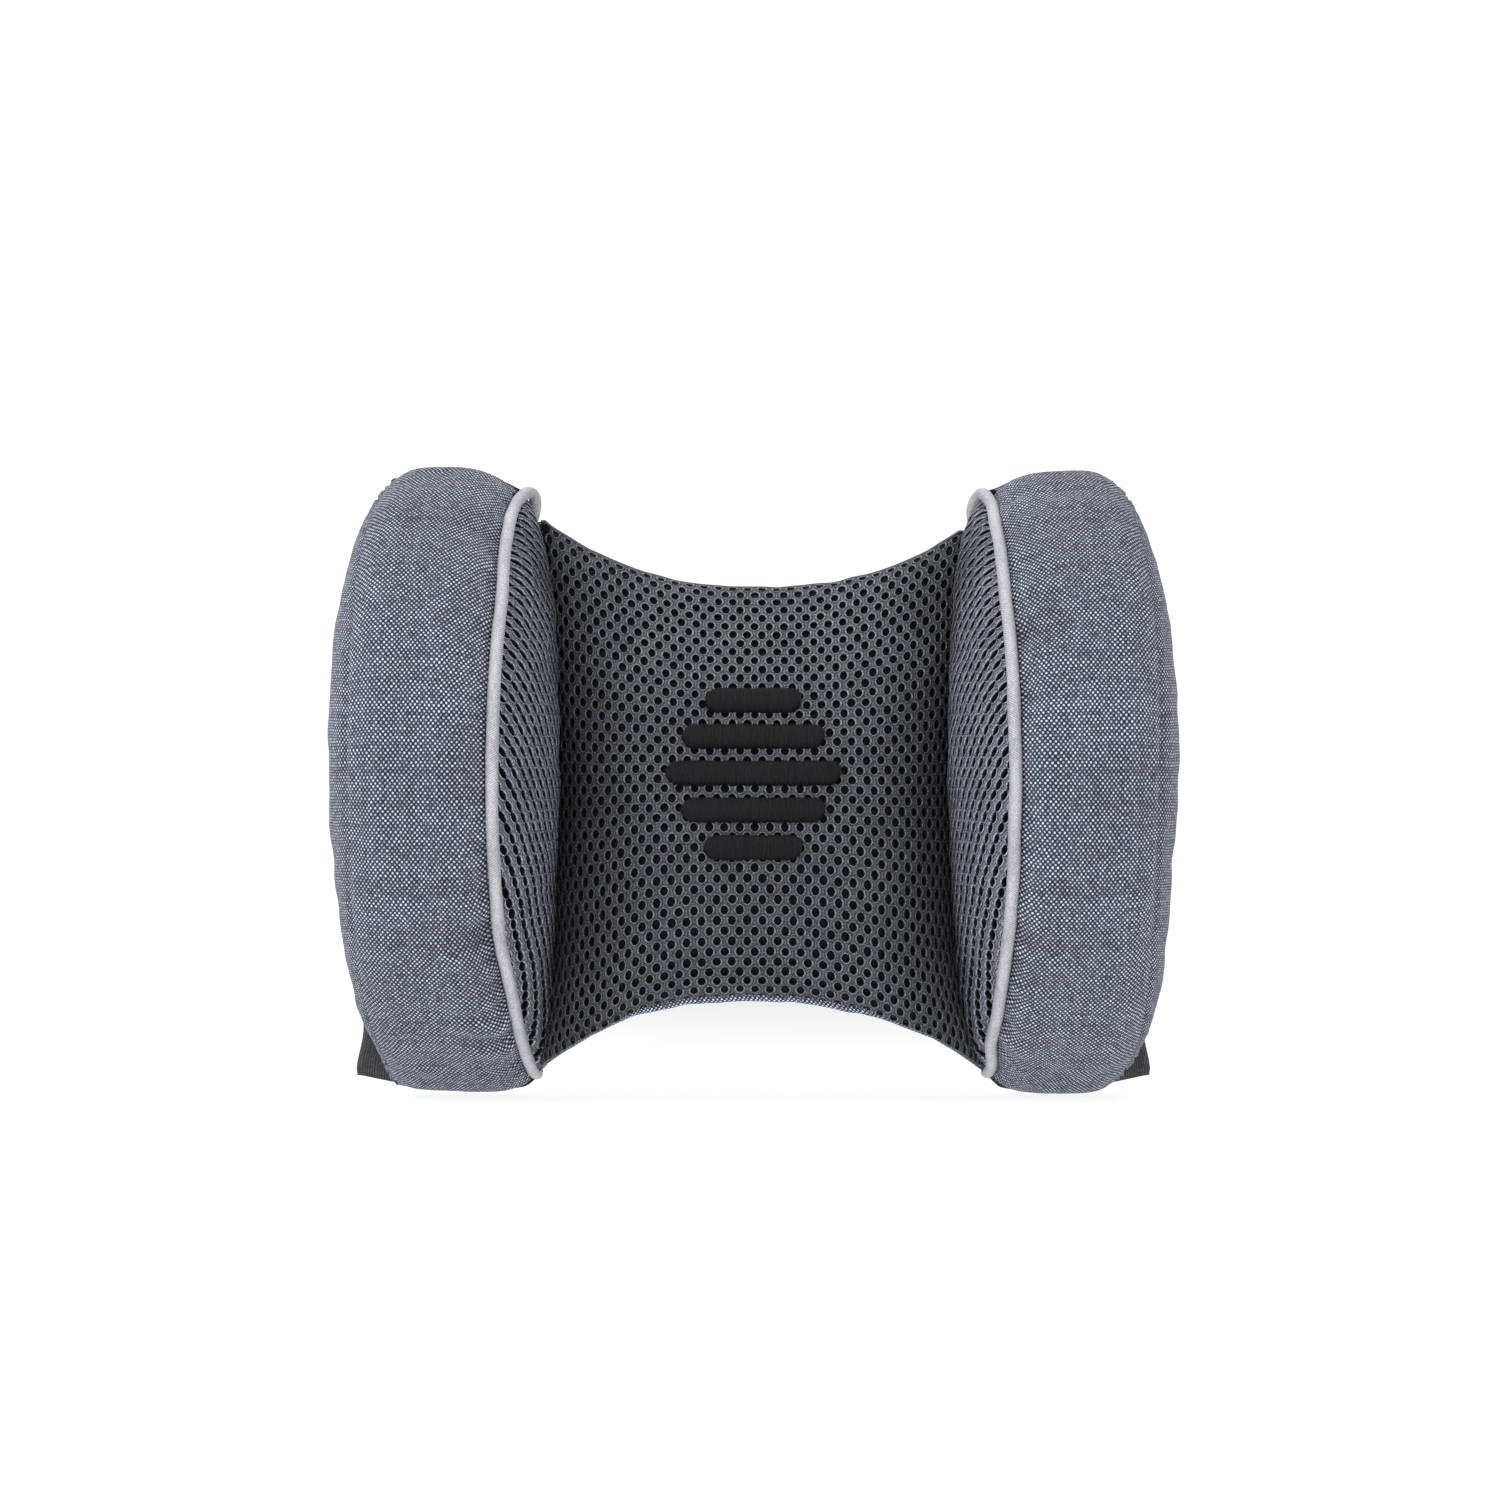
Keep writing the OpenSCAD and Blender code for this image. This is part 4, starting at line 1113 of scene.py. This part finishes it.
def pad_to_grid(across, up):
    row = np.interp(up, FACE_UP, np.arange(len(FACE_UP)))
    i = np.minimum(row.astype(int), len(FACE_UP) - 2)
    part_way = (row - i)[:, None]
    table = FACE_ACROSS[i] * (1 - part_way) + FACE_ACROSS[i + 1] * part_way
    return row, column_at(table, across)


def pad_surface(x, z):
    """Place and normal on the face for given x and z."""
    last = len(FACE) - 1
    row = np.clip((z - low_z(x)) / (top_z(x) - low_z(x)), 0, 1) * last
    for _ in range(3):
        i = np.clip(row, 0, last - 1).astype(int)
        col = column_at(FACE[i, :, 0], x)
        row = np.clip(row + (z - lookup(FACE, row, col)[:, 2]) / 0.8, 0, last)
    return lookup(FACE, row, col), lookup(FACE_OUT, row, col)


# ------------------------------------------------------------------ centre pad pieces

def pad_airmesh():
    cells = []
    for i in range(int(FACE_UP[-1] / ROW_PITCH) + 1):
        up = 1.2 + i * ROW_PITCH
        if up > FACE_UP[-1] + 1.0:
            continue
        reach = FACE_ACROSS[int(np.argmin(np.abs(FACE_UP - up))), -1] + 1.5
        for j in range(-30, 31):
            across = j * HOLE_PITCH + (HALF if i % 2 else 0.0)
            if -reach < across < reach:
                cells.append((across, up))
    points, faces, uv, rim = open_mesh(np.array(cells), pad_to_grid, FACE, FACE_OUT, 900,
                                       hole=(1.47, 1.84))
    x, z = points[:, 0], points[:, 2]
    # painted shade towards the bolsters, low down and on the left; painted light at the top, at
    # the very foot and on the right
    tone = (0.42 * smooth(np.abs(x), 35, 74) + 0.24 * smooth(-z, -50, 20)
            - 0.10 * smooth(-z, 55, 85) - 0.06)
    tone = (tone - 0.14 * smooth(z, 22, 58) + 0.05 * smooth(-x, -20, 50)
            - 0.08 * smooth(x, 5, 45))
    part("center_airmesh", "spacer_mesh", "center_front_mesh", points, faces, uv, STRAND,
         tone=np.clip(tone, -0.3, 0.9), rim=rim)


def pad_lining():
    """Dark layer behind the mesh, closer to it near the bottom and top."""
    gap = 0.6 + 1.6 * smooth(FACE_UP, 0, 9) * smooth(FACE_UP[-1] - FACE_UP, 0, 16)
    under = resample((FACE - FACE_OUT * gap[:, None, None])[1:-2, 3:-3], 150, 150)
    sheet("center_lining", "spacer_mesh", None, under, (0, 1, 0),
          join(arcs(under, 1), arcs(under, 0)), LINING)


def pad_foam():
    front = resample((FACE - FACE_OUT * 5.5)[8:-26, 14:-14], 70, 80)
    back = front.copy()
    back[..., 1] = 6.0
    core = np.concatenate([front, back[:, ::-1]], 1)
    rows, cols = core.shape[:2]
    i, j = np.arange(rows)[:, None] * 2.5, np.arange(cols)[None] * 2.5
    core = core + 0.3 * rough(i, j, 8.0, 61)[..., None]
    core[..., 1] = np.maximum(core[..., 1], 5.5)
    part("center_foam_core", "foam", "center_foam", core, shell(rows, cols), join(j, i), FOAM)


def bottom_edge():
    """x, depth and z along the bottom seam."""
    return cubic(FACE[0], np.linspace(0, FACE.shape[1] - 1, 200)).T


def bottom_cloth():
    """Woven band under the pad, from the back to the bottom seam."""
    x, depth, z = bottom_edge()
    share = np.linspace(0, 1, 34)[:, None]
    sag = 1.5 * np.sin(PI * share) ** 0.7
    creases = 0.5 * np.abs(noise(x, share * 40, 7.0, 91)) * np.exp(-(1 - share) * 5)
    roll = np.exp(-((1 - share) * 46 / 2.6) ** 2)
    band = join(x, LIFT + (depth - LIFT) * share, z - 0.4 - sag - creases + 0.9 * roll)
    # painted shade where the band rolls up to the bottom seam and towards the bolsters
    sheet("center_bottom_cloth", "grey_woven", "center_bottom_band", band, (0, 0, -1),
          join(arcs(band, 1), share * 50), GREY_WEAVE,
          tone=0.35 * roll + 0.12 * smooth(np.abs(x), 45, 75))


def bottom_lip():
    """The band shows as a narrow lip in front of the bottom seam."""
    x, depth, z = bottom_edge()
    angle = np.linspace(-0.55, 1, 12)[:, None] * PI / 2
    radius = 0.35 + 1.3 * (1 - smooth(np.abs(x), 34, 60))
    lip = join(
        x,
        depth - 0.9 + radius * np.cos(angle) * 0.8 + 0.25 * noise(x, 0, 6.0, 93),
        z - 0.5 - radius * np.sin(angle) * 1.05 + 0.3 + 0.12 * noise(x, 4, 5.0, 94))
    # painted shade along the lip's upper edge, under the mesh; the whole lip is also lightened
    sheet("center_bottom_roll", "grey_woven", None, lip, (0, 1, 0),
          join(arcs(lip, 1), 60 + angle * 2.2), GREY_WEAVE,
          tone=0.32 * np.exp(-((angle + 0.86) / 0.35) ** 2) - 0.34 + 0 * x)


def top_binding():
    """Folded tape that binds the top edge."""
    x, depth, z = cubic(FACE[-1], np.linspace(13, 226, 200)).T
    share = np.linspace(0, 1, 12)[:, None]
    tape = join(
        x,
        depth + 1.4 - 4.6 * share + 0.2 * noise(x, 0, 6.0, 95),
        z - 0.5 + np.sin(PI * np.clip(share * 1.25, 0, 1) * 0.62)
        - 0.9 * smooth(share, 0.75, 1))
    sheet("center_top_bind", "grey_woven", "center_top_binding", tape, (0, 0, 1),
          join(arcs(tape, 1), share * 6), BINDING)


def top_cloth():
    """Cloth from the top edge back to the back panel, under the binding."""
    x, depth, z = FACE[-1][8:-8:2].T
    share = np.linspace(0, 1, 10)[:, None]
    cloth = join(x, 0.6 + (depth - 0.6) * share, z - (1.2 - np.sin(PI * share)))
    sheet("center_top_cloth", "grey_woven", None, cloth, (0, 0, 1),
          join(arcs(cloth, 1), share * 9), GREY_WEAVE)


# ------------------------------------------------------------------ satin bars

BAR_W, BAR_PITCH, BAR_MID_Z = 64.0, 13.5, 1.0
# (half width, middle height) of the five bars, from the lowest up
BARS = [(BAR_W * share / 2, BAR_MID_Z + (i - 2) * BAR_PITCH)
        for i, share in enumerate((0.56, 0.82, 1, 0.82, 0.56))]


def bar_dome(q):
    """Height of a bar's section for q from -1 to 1."""
    return np.sqrt(np.maximum(0, 1 - np.abs(q) ** 2.3))


def satin_threads():
    rng = np.random.default_rng(5)
    end_r, pitch = 4.5, 0.44
    q = np.linspace(-1, 1, 13)
    paths = []
    for half_w, mid_z in BARS:
        for x in np.arange(-half_w + 0.2, half_w - 0.1, pitch):
            past = max(0.0, abs(x) - (half_w - end_r))
            half = math.sqrt(max(0.3, end_r * end_r - past ** 2))
            half = half * (1 + rng.uniform(-0.05, 0.05))
            thread_z = mid_z + q * half + rng.uniform(-0.08, 0.08)
            thread_x = x + 0.30 * q + rng.uniform(-0.05, 0.05)
            place, out = pad_surface(thread_x, thread_z)
            rise = 0.35 + 2.3 * bar_dome(q) + rng.uniform(-0.05, 0.05)
            rise[0] = rise[-1] = -0.5
            paths.append(place + out * rise[:, None])
    part("front_satin_bars", "embroidery_thread", "front_embroidery",
         *tubes(paths, 0.27, sides=6), SATIN)


def satin_padding():
    """Padding felt under the satin threads."""
    end_r = 4.1
    q = np.linspace(-1, 1, 11)[:, None]
    pads = []
    for half_w, mid_z in BARS:
        half_w = half_w - 0.5
        x = np.linspace(-half_w, half_w, 60)[None]
        past = np.maximum(0, np.abs(x) - (half_w - end_r))
        half = np.sqrt(np.maximum(0.2, end_r ** 2 - past ** 2))
        flat = join(x, mid_z + q * half).reshape(-1, 2)
        place, out = pad_surface(flat[:, 0], flat[:, 1])
        rise = np.broadcast_to(0.1 + 2.1 * bar_dome(q), (11, 60)).ravel()
        pads.append((place + out * (rise - 0.1)[:, None], quads(11, 60), flat))
    part("front_satin_pad", "embroidery_thread", None, *merge(pads), DARK_STITCH)


# ------------------------------------------------------------------ back of the pad

ZIP_Z, SLOT_X, SLOT_H = 25.0, 71.0, 5.2  # height and half sizes of the zip slot
BACK_HALF_W = 83.8


def back_patch(x_start, x_end, z_start, z_end, cols, rows):
    """A rectangle of the back panel; z_start or z_end None means the pad's own edge."""
    x = np.linspace(x_start, x_end, cols)[None]
    low = low_z(x) - 1.4 if z_start is None else z_start
    high = top_z(x) - 0.3 if z_end is None else z_end
    z = low + (high - low) * np.linspace(0, 1, rows)[:, None]
    slot = np.hypot(np.maximum(np.abs(x) - SLOT_X, 0),
                    np.maximum(np.abs(z - ZIP_Z) - SLOT_H, 0))
    edge = np.minimum(BACK_HALF_W - np.abs(x),
                      np.minimum(z - (low_z(x) - 1.4), top_z(x) - 0.3 - z))
    edge = np.maximum(edge, 0)
    depth = (0.12 + 1.2 * np.exp(-(slot / 0.9) ** 2) + 0.35 * np.exp(-((slot - 2.3) / 0.7) ** 2)
             + 1.3 * np.exp(-(edge / 2.0) ** 2))
    depth = depth + 0.45 * (0.5 + 0.5 * rough(x, z, 26.0, 55)) * smooth(slot, 0, 5)
    depth = depth + 0.3 * np.abs(noise(x * 0.5 + z, z - x * 0.5, 5.0, 57)) * np.exp(-edge / 7)
    return join(x, depth, z)


def pad_back():
    """Four patches round the zip slot: below, above, and one at each end."""
    patches = [
        back_patch(-SLOT_X, SLOT_X, None, ZIP_Z - SLOT_H, 160, 110),
        back_patch(-SLOT_X, SLOT_X, ZIP_Z + SLOT_H, None, 160, 46),
        back_patch(-BACK_HALF_W, -SLOT_X, None, None, 18, 190),
        back_patch(SLOT_X, BACK_HALF_W, None, None, 18, 190),
    ]
    sheets = [(grid, sheet_faces(grid, (0, -1, 0)), grid[..., [0, 2]]) for grid in patches]
    part("center_back_cloth", "back_cloth", "center_back_panel", *merge(sheets), BACK_WEAVE)


def zip_topstitch():
    """Topstitching round the zip slot."""
    half_w, half_h = SLOT_X + 2.3, SLOT_H + 2.3
    corners = np.array([(-half_w, ZIP_Z - half_h), (half_w, ZIP_Z - half_h),
                        (half_w, ZIP_Z + half_h), (-half_w, ZIP_Z + half_h)])
    share = np.linspace(0.1, 0.9, 7)
    bow = np.sin(PI * np.linspace(0, 1, 7))
    stitches = []
    for i in range(4):
        start, side = corners[i], corners[(i + 1) % 4] - corners[i]
        n = max(2, int(np.linalg.norm(side) / 3.1))
        for k in range(n):
            place = start[None] + side[None] * ((k + share) / n)[:, None]
            stitches.append(join(place[:, 0], 0.62 - 0.42 * bow, place[:, 1]))
    part("zip_topstitch", "back_cloth", None, *tubes(stitches, 0.24, sides=6), STITCH)


def zip_tape(side, node):
    """One tape of the zip; side is 1 for the upper one and -1 for the lower."""
    low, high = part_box(node)
    inner, outer = (low[2] * 1000, high[2] * 1000)[::side]
    x = np.linspace(low[0] * 1000, high[0] * 1000, 240)[None]
    z = inner + (outer - inner) * np.linspace(0, 1, 22)[:, None]
    off = np.abs(z - inner)
    depth = (1.95 + 0.16 * noise(x, z, 9.0, 31 + side)
             + 0.10 * np.sin(x / 2.4 * 2 * PI) * np.exp(-off / 1.2)
             - 0.25 * np.exp(-(off / 0.6) ** 2))
    # the two faces of the tape, joined at its edges along x
    both = np.concatenate([join(x, depth, z), join(x, depth + 0.55, z)[::-1]], 0)
    uv = join(z, x)
    n, m = both.shape[:2]
    k = np.arange(m - 1)
    last = np.stack([(n - 1) * m + k, (n - 1) * m + k + 1, k + 1, k], 1)
    part(node + "_web", "zip_tape", node, both, turned([quads(n, m), last], side),
         np.concatenate([uv, uv[::-1]]), ZIP_TAPE)


pad_airmesh()
pad_lining()
pad_foam()
bottom_cloth()
bottom_lip()
top_binding()
top_cloth()
satin_threads()
satin_padding()
pad_back()
zip_topstitch()
zip_tape(1, "zipper_tape_upper")
zip_tape(-1, "zipper_tape_lower")

# ------------------------------------------------------------------ strap
# Strap lengths are worked out as (x, y, z) with y behind the back plane.

STRAP_W, STRAP_T = 39.0, 1.4
ROOT_Y = 1.0
FOLD_Z, ROOT_DROP = -96.0, 3.3   # height of the outer fold, and the root below it
LOW_Y = 4.3                      # where the strap runs after the fold
BUCKLE_Y, BUCKLE_Z = 6.0, -58.5
WRAP_R = 2.4                     # turn round the buckle's bar
EASE = 16.0                      # length over which the strap starts to slope
FOLD_R = (LOW_Y - ROOT_Y) / 2
FOLD_X = OUTER_X + 18.3 - FOLD_R - STRAP_T / 2
ROOT_Z = FOLD_Z - ROOT_DROP


def strap_path(bar_x, rise_end, rise_start, tail_x):
    """Middle line of one strap half, from its root over the fold, inwards to the bar at
    bar_x and back to tail_x. It moves away from the back between rise_start and rise_end."""
    level_x = bar_x + 4
    slope = (FOLD_Z - BUCKLE_Z) / (FOLD_X - level_x - EASE / 2)

    def height(x):
        past = x - level_x
        if past <= 0:
            return BUCKLE_Z
        return BUCKLE_Z + slope * (past * past / (2 * EASE) if past < EASE
                                   else past - EASE / 2)

    up, down = BUCKLE_Y + WRAP_R, BUCKLE_Y - WRAP_R
    eased = [level_x + i * EASE / 4 for i in range(5)]
    path = [(OUTER_X - 0.6, ROOT_Y, ROOT_Z), (OUTER_X + 0.7, ROOT_Y, ROOT_Z)]
    for k in range(11):
        angle = math.radians(-90 + 18 * k)
        path.append((FOLD_X + FOLD_R * math.cos(angle),
                     ROOT_Y + FOLD_R + FOLD_R * math.sin(angle), FOLD_Z))
    for x, y in ((rise_start, LOW_Y), (rise_start - 3, LOW_Y + 0.5),
                 (rise_end + 3, up - 0.5), (rise_end, up)):
        path.append((x, y, height(x)))
    path += [(x, up, height(x)) for x in eased[::-1]]
    for k in range(13):
        angle = math.radians(90 + 15 * k)
        path.append((bar_x + WRAP_R * math.cos(angle), BUCKLE_Y + WRAP_R * math.sin(angle),
                     BUCKLE_Z))
    path += [(x, down, height(x)) for x in eased + [tail_x]]
    return np.array(path, float)


def webbing(name, side, path, seed):
    """Ribbed elastic band swept along a path."""
    length = arcs(path[:, :2], 0)
    at = np.arange(0, length[-1], 0.375)
    line = np.stack([np.interp(at, length, path[:, k]) for k in range(3)], 1)
    # round off the path's corners a little
    for _ in range(6):
        line[1:-1] = 0.25 * line[:-2] + 0.5 * line[1:-1] + 0.25 * line[2:]
    along = np.gradient(line[:, :2], axis=0)
    along /= np.linalg.norm(along, axis=1, keepdims=True)
    normal = join(-along[:, 1], along[:, 0], 0)[:, None, :]
    q = np.linspace(-1, 1, 15)
    half = STRAP_W / 2 * (1 + 0.006 * noise(at, 0, 7.0, seed))
    rib = 0.5 + 0.5 * np.cos(at / 1.5 * 2 * PI)
    cord = 1 - 0.10 * (0.5 + 0.5 * np.cos(q * PI * 13))
    section = np.clip(1 - np.abs(q) ** 18, 0.30, 1) * cord
    thick = (0.50 + 0.17 * rib)[:, None] * section[None]
    middle = line[:, None, :] + np.array([0, 0, 1.0]) * (q[:, None] * half[:, None, None])
    # the outer fold slants: its upper part lies further in
    near = smooth(line[:, 0], FOLD_X - 14, FOLD_X)
    middle[..., 0] -= 2.6 * near[:, None] * smooth(q[None], -0.95, -0.1)
    bow = 0.10 * noise(at[:, None], q[None] * 20, 15.0, seed + 1)
    one = middle + normal * (thick + bow)[..., None]
    other = middle - normal * (thick - bow)[..., None]
    loop = np.concatenate([one, other[:, ::-1]], 1)
    n, m = loop.shape[:2]
    uv = join((np.concatenate([q, q[::-1]]) * STRAP_W / 2)[None], at[:, None])
    ends = [np.arange(m)[None], (np.arange(m) + (n - 1) * m)[None, ::-1]]
    return make(name, flip(loop * TO_WORLD, side),
                turned([quads(n, m, True)] + ends, side), uv, WEBBING)


def straps():
    left = webbing("strap_left_web", -1, strap_path(34.0, 64.0, 80.0, 66.0), 41)
    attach(left, "cushion")
    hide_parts("strap_left")
    right = webbing("strap_right_web", 1, strap_path(30.0, 104.0, 118.0, 100.0), 43)
    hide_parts("strap_right")
    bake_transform(right)


def bar_tacks():
    """Two columns of short threads across the strap at each root."""
    n = 62
    share = np.linspace(0, 1, 6)
    y = ROOT_Y + STRAP_T / 2 + 0.02 + 0.26 * np.sin(PI * share)
    threads = []
    for side in (-1, 1):
        for shift in (0.0, 2.6):
            for i in range(n):
                z = ROOT_Z - STRAP_W / 2 + 4 + (STRAP_W - 7) * i / n
                x = OUTER_X + 1.4 + shift + 1.2 * share
                threads.append(join(side * x, -y, z + 0.5 * share))
    part("strap_tack_threads", "embroidery_thread", "strap_tacks",
         *tubes(threads, 0.2, sides=5), DARK_STITCH)


def frayed_threads():
    """Frayed ends at the foot of the left piping."""
    rng = np.random.default_rng(3)
    share = np.linspace(0, 1, 10)
    threads = []
    for i in range(9):
        angle = rng.uniform(0.2, 1.5)
        length = rng.uniform(1.2, 3.2)
        x = (-85.9 + rng.uniform(-0.8, 0.5) + length * np.sin(angle) * share
             + 0.3 * np.sin(share * 4 + i))
        z = -115.4 + rng.uniform(-0.8, 0.4) - length * np.cos(angle) * 0.6 * share
        threads.append(join(x, 3.0 + rng.uniform(-0.5, 1.0) + 0.6 * share, z))
    part("frayed_threads", "piping_tape", None, *tubes(threads, 0.11, sides=5), DARK_STITCH)


straps()
bar_tacks()
frayed_threads()


# ------------------------------------------------------------------ hard parts
# These keep their CAD meshes and get rounded edges.

def bevel(node, width, segments, mat):
    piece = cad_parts[node]
    edge = piece.modifiers.new("edge", "BEVEL")
    edge.width = width * 0.001
    edge.segments = segments
    edge.limit_method = "ANGLE"
    edge.angle_limit = math.radians(40)
    edge.harden_normals = False
    piece.data.materials.clear()
    piece.data.materials.append(mat)
    return piece


for node, width, segments, mat, slot in (  # width in mm
    ("buckle_socket", 0.55, 3, PLASTIC, "black_plastic"),
    ("buckle_plug", 0.5, 3, PLASTIC, "black_plastic"),
    ("strap_adjuster", 0.45, 3, PLASTIC, "black_plastic"),
    ("zipper_slider", 0.22, 3, NICKEL, "nickel"),
    ("zipper_pull", 0.18, 3, NICKEL, "nickel"),
    ("zipper_stops", 0.3, 3, NICKEL, "nickel"),
    ("zipper_teeth_upper", 0.28, 2, TEETH, "zip_teeth"),
    ("zipper_teeth_lower", 0.28, 2, TEETH, "zip_teeth"),
):
    bevel(node, width, segments, mat)


# ------------------------------------------------------------------ stage, light, camera

def stage_material(name, glow, albedo, dip=0.0):
    """Glowing paper, clear from behind; dip paints a shadow on it low down behind the cushion.
    """
    mat = bpy.data.materials.new(name)
    mat.use_nodes = True
    tree = mat.node_tree
    tree.nodes.clear()
    output = tree.nodes.new("ShaderNodeOutputMaterial")
    diffuse = add_node(tree, "BsdfDiffuse", {0: (albedo, albedo, albedo, 1)})
    place = split(add_node(tree, "NewGeometry", out="Position"))
    up = place[2] * 1000.0
    across = (place[0] * 1000.0).abs()
    # the painted shadow comes in above the floor and fades out upwards and sideways
    level = ((up + 122.0) / 30.0).clip() * (1.0 - ((up + 85.0) / 45.0).clip())
    level = level * (1.0 - ((across - 112.0) / 30.0).clip()) * -dip + glow
    front = add_node(tree, "AddShader", {0: diffuse, 1: add_node(tree, "Emission", {1: level})})
    behind = add_node(tree, "NewGeometry", out="Backfacing")
    clear = add_node(tree, "BsdfTransparent")
    feed(tree, output.inputs[0], add_node(tree, "MixShader", {0: behind, 1: front, 2: clear}))
    return mat


def paper_stage():
    """A wall behind the cushion and a floor under it."""
    reach, wall_depth, floor_z = 3000, -80, -122.6
    paper = stage_material("paper", glow=0.81, albedo=0.34)
    # the wall behind the cushion gets a painted shadow low down between the bolsters
    backing = stage_material("paper_back", glow=0.76, albedo=0.44, dip=0.19)
    foot_line = [(-reach, wall_depth, floor_z), (reach, wall_depth, floor_z)]
    wall = make("paper_wall",
                foot_line + [(reach, wall_depth, reach), (-reach, wall_depth, reach)],
                np.array([[0, 1, 2, 3]]), None, backing, smoothed=False)
    floor = make("paper_floor",
                 foot_line + [(reach, reach, floor_z), (-reach, reach, floor_z)],
                 np.array([[3, 2, 1, 0]]), None, paper, smoothed=False)


def studio_world():
    """White surroundings, brighter above than below."""
    world = bpy.data.worlds.new("studio")
    bpy.context.scene.world = world
    world.use_nodes = True
    tree = world.node_tree
    background = tree.nodes["Background"]
    up = split(add_node(tree, "TexCoord", out="Generated"))[2]
    feed(tree, background.inputs[1], (up * 0.5 + 0.5).clip() * 0.32 + 0.60)
    background.inputs[0].default_value = (1, 1, 1, 1)


def area_light(name, location, size, power):
    """Rectangular light aimed at the origin."""
    light = bpy.data.lights.new(name, "AREA")
    light.shape = "RECTANGLE"
    light.size, light.size_y = size
    light.energy = power
    lamp = link(name, light)
    lamp.location = location
    lamp.rotation_mode = "QUATERNION"
    lamp.rotation_quaternion = (-Vector(location)).to_track_quat("-Z", "Y")
    lamp.visible_camera = False


def front_camera():
    camera = bpy.data.cameras.new("camera")
    camera.lens, camera.sensor_width, camera.sensor_fit = 76.75, 36.0, "HORIZONTAL"
    camera.clip_start, camera.clip_end = 0.01, 20
    eye = link("camera", camera)
    eye.location = (-0.00135, -1.230, 0.0096)
    eye.rotation_euler = (PI / 2, 0, 0)
    bpy.context.scene.camera = eye


paper_stage()
studio_world()
area_light("key", location=(-0.95, -0.9, 0.95), size=(0.9, 0.7), power=8.8)
area_light("fill", location=(0.9, -1.1, 0.5), size=(0.8, 0.8), power=0.7)
front_camera()
bpy.context.scene.view_settings.view_transform = "Standard"
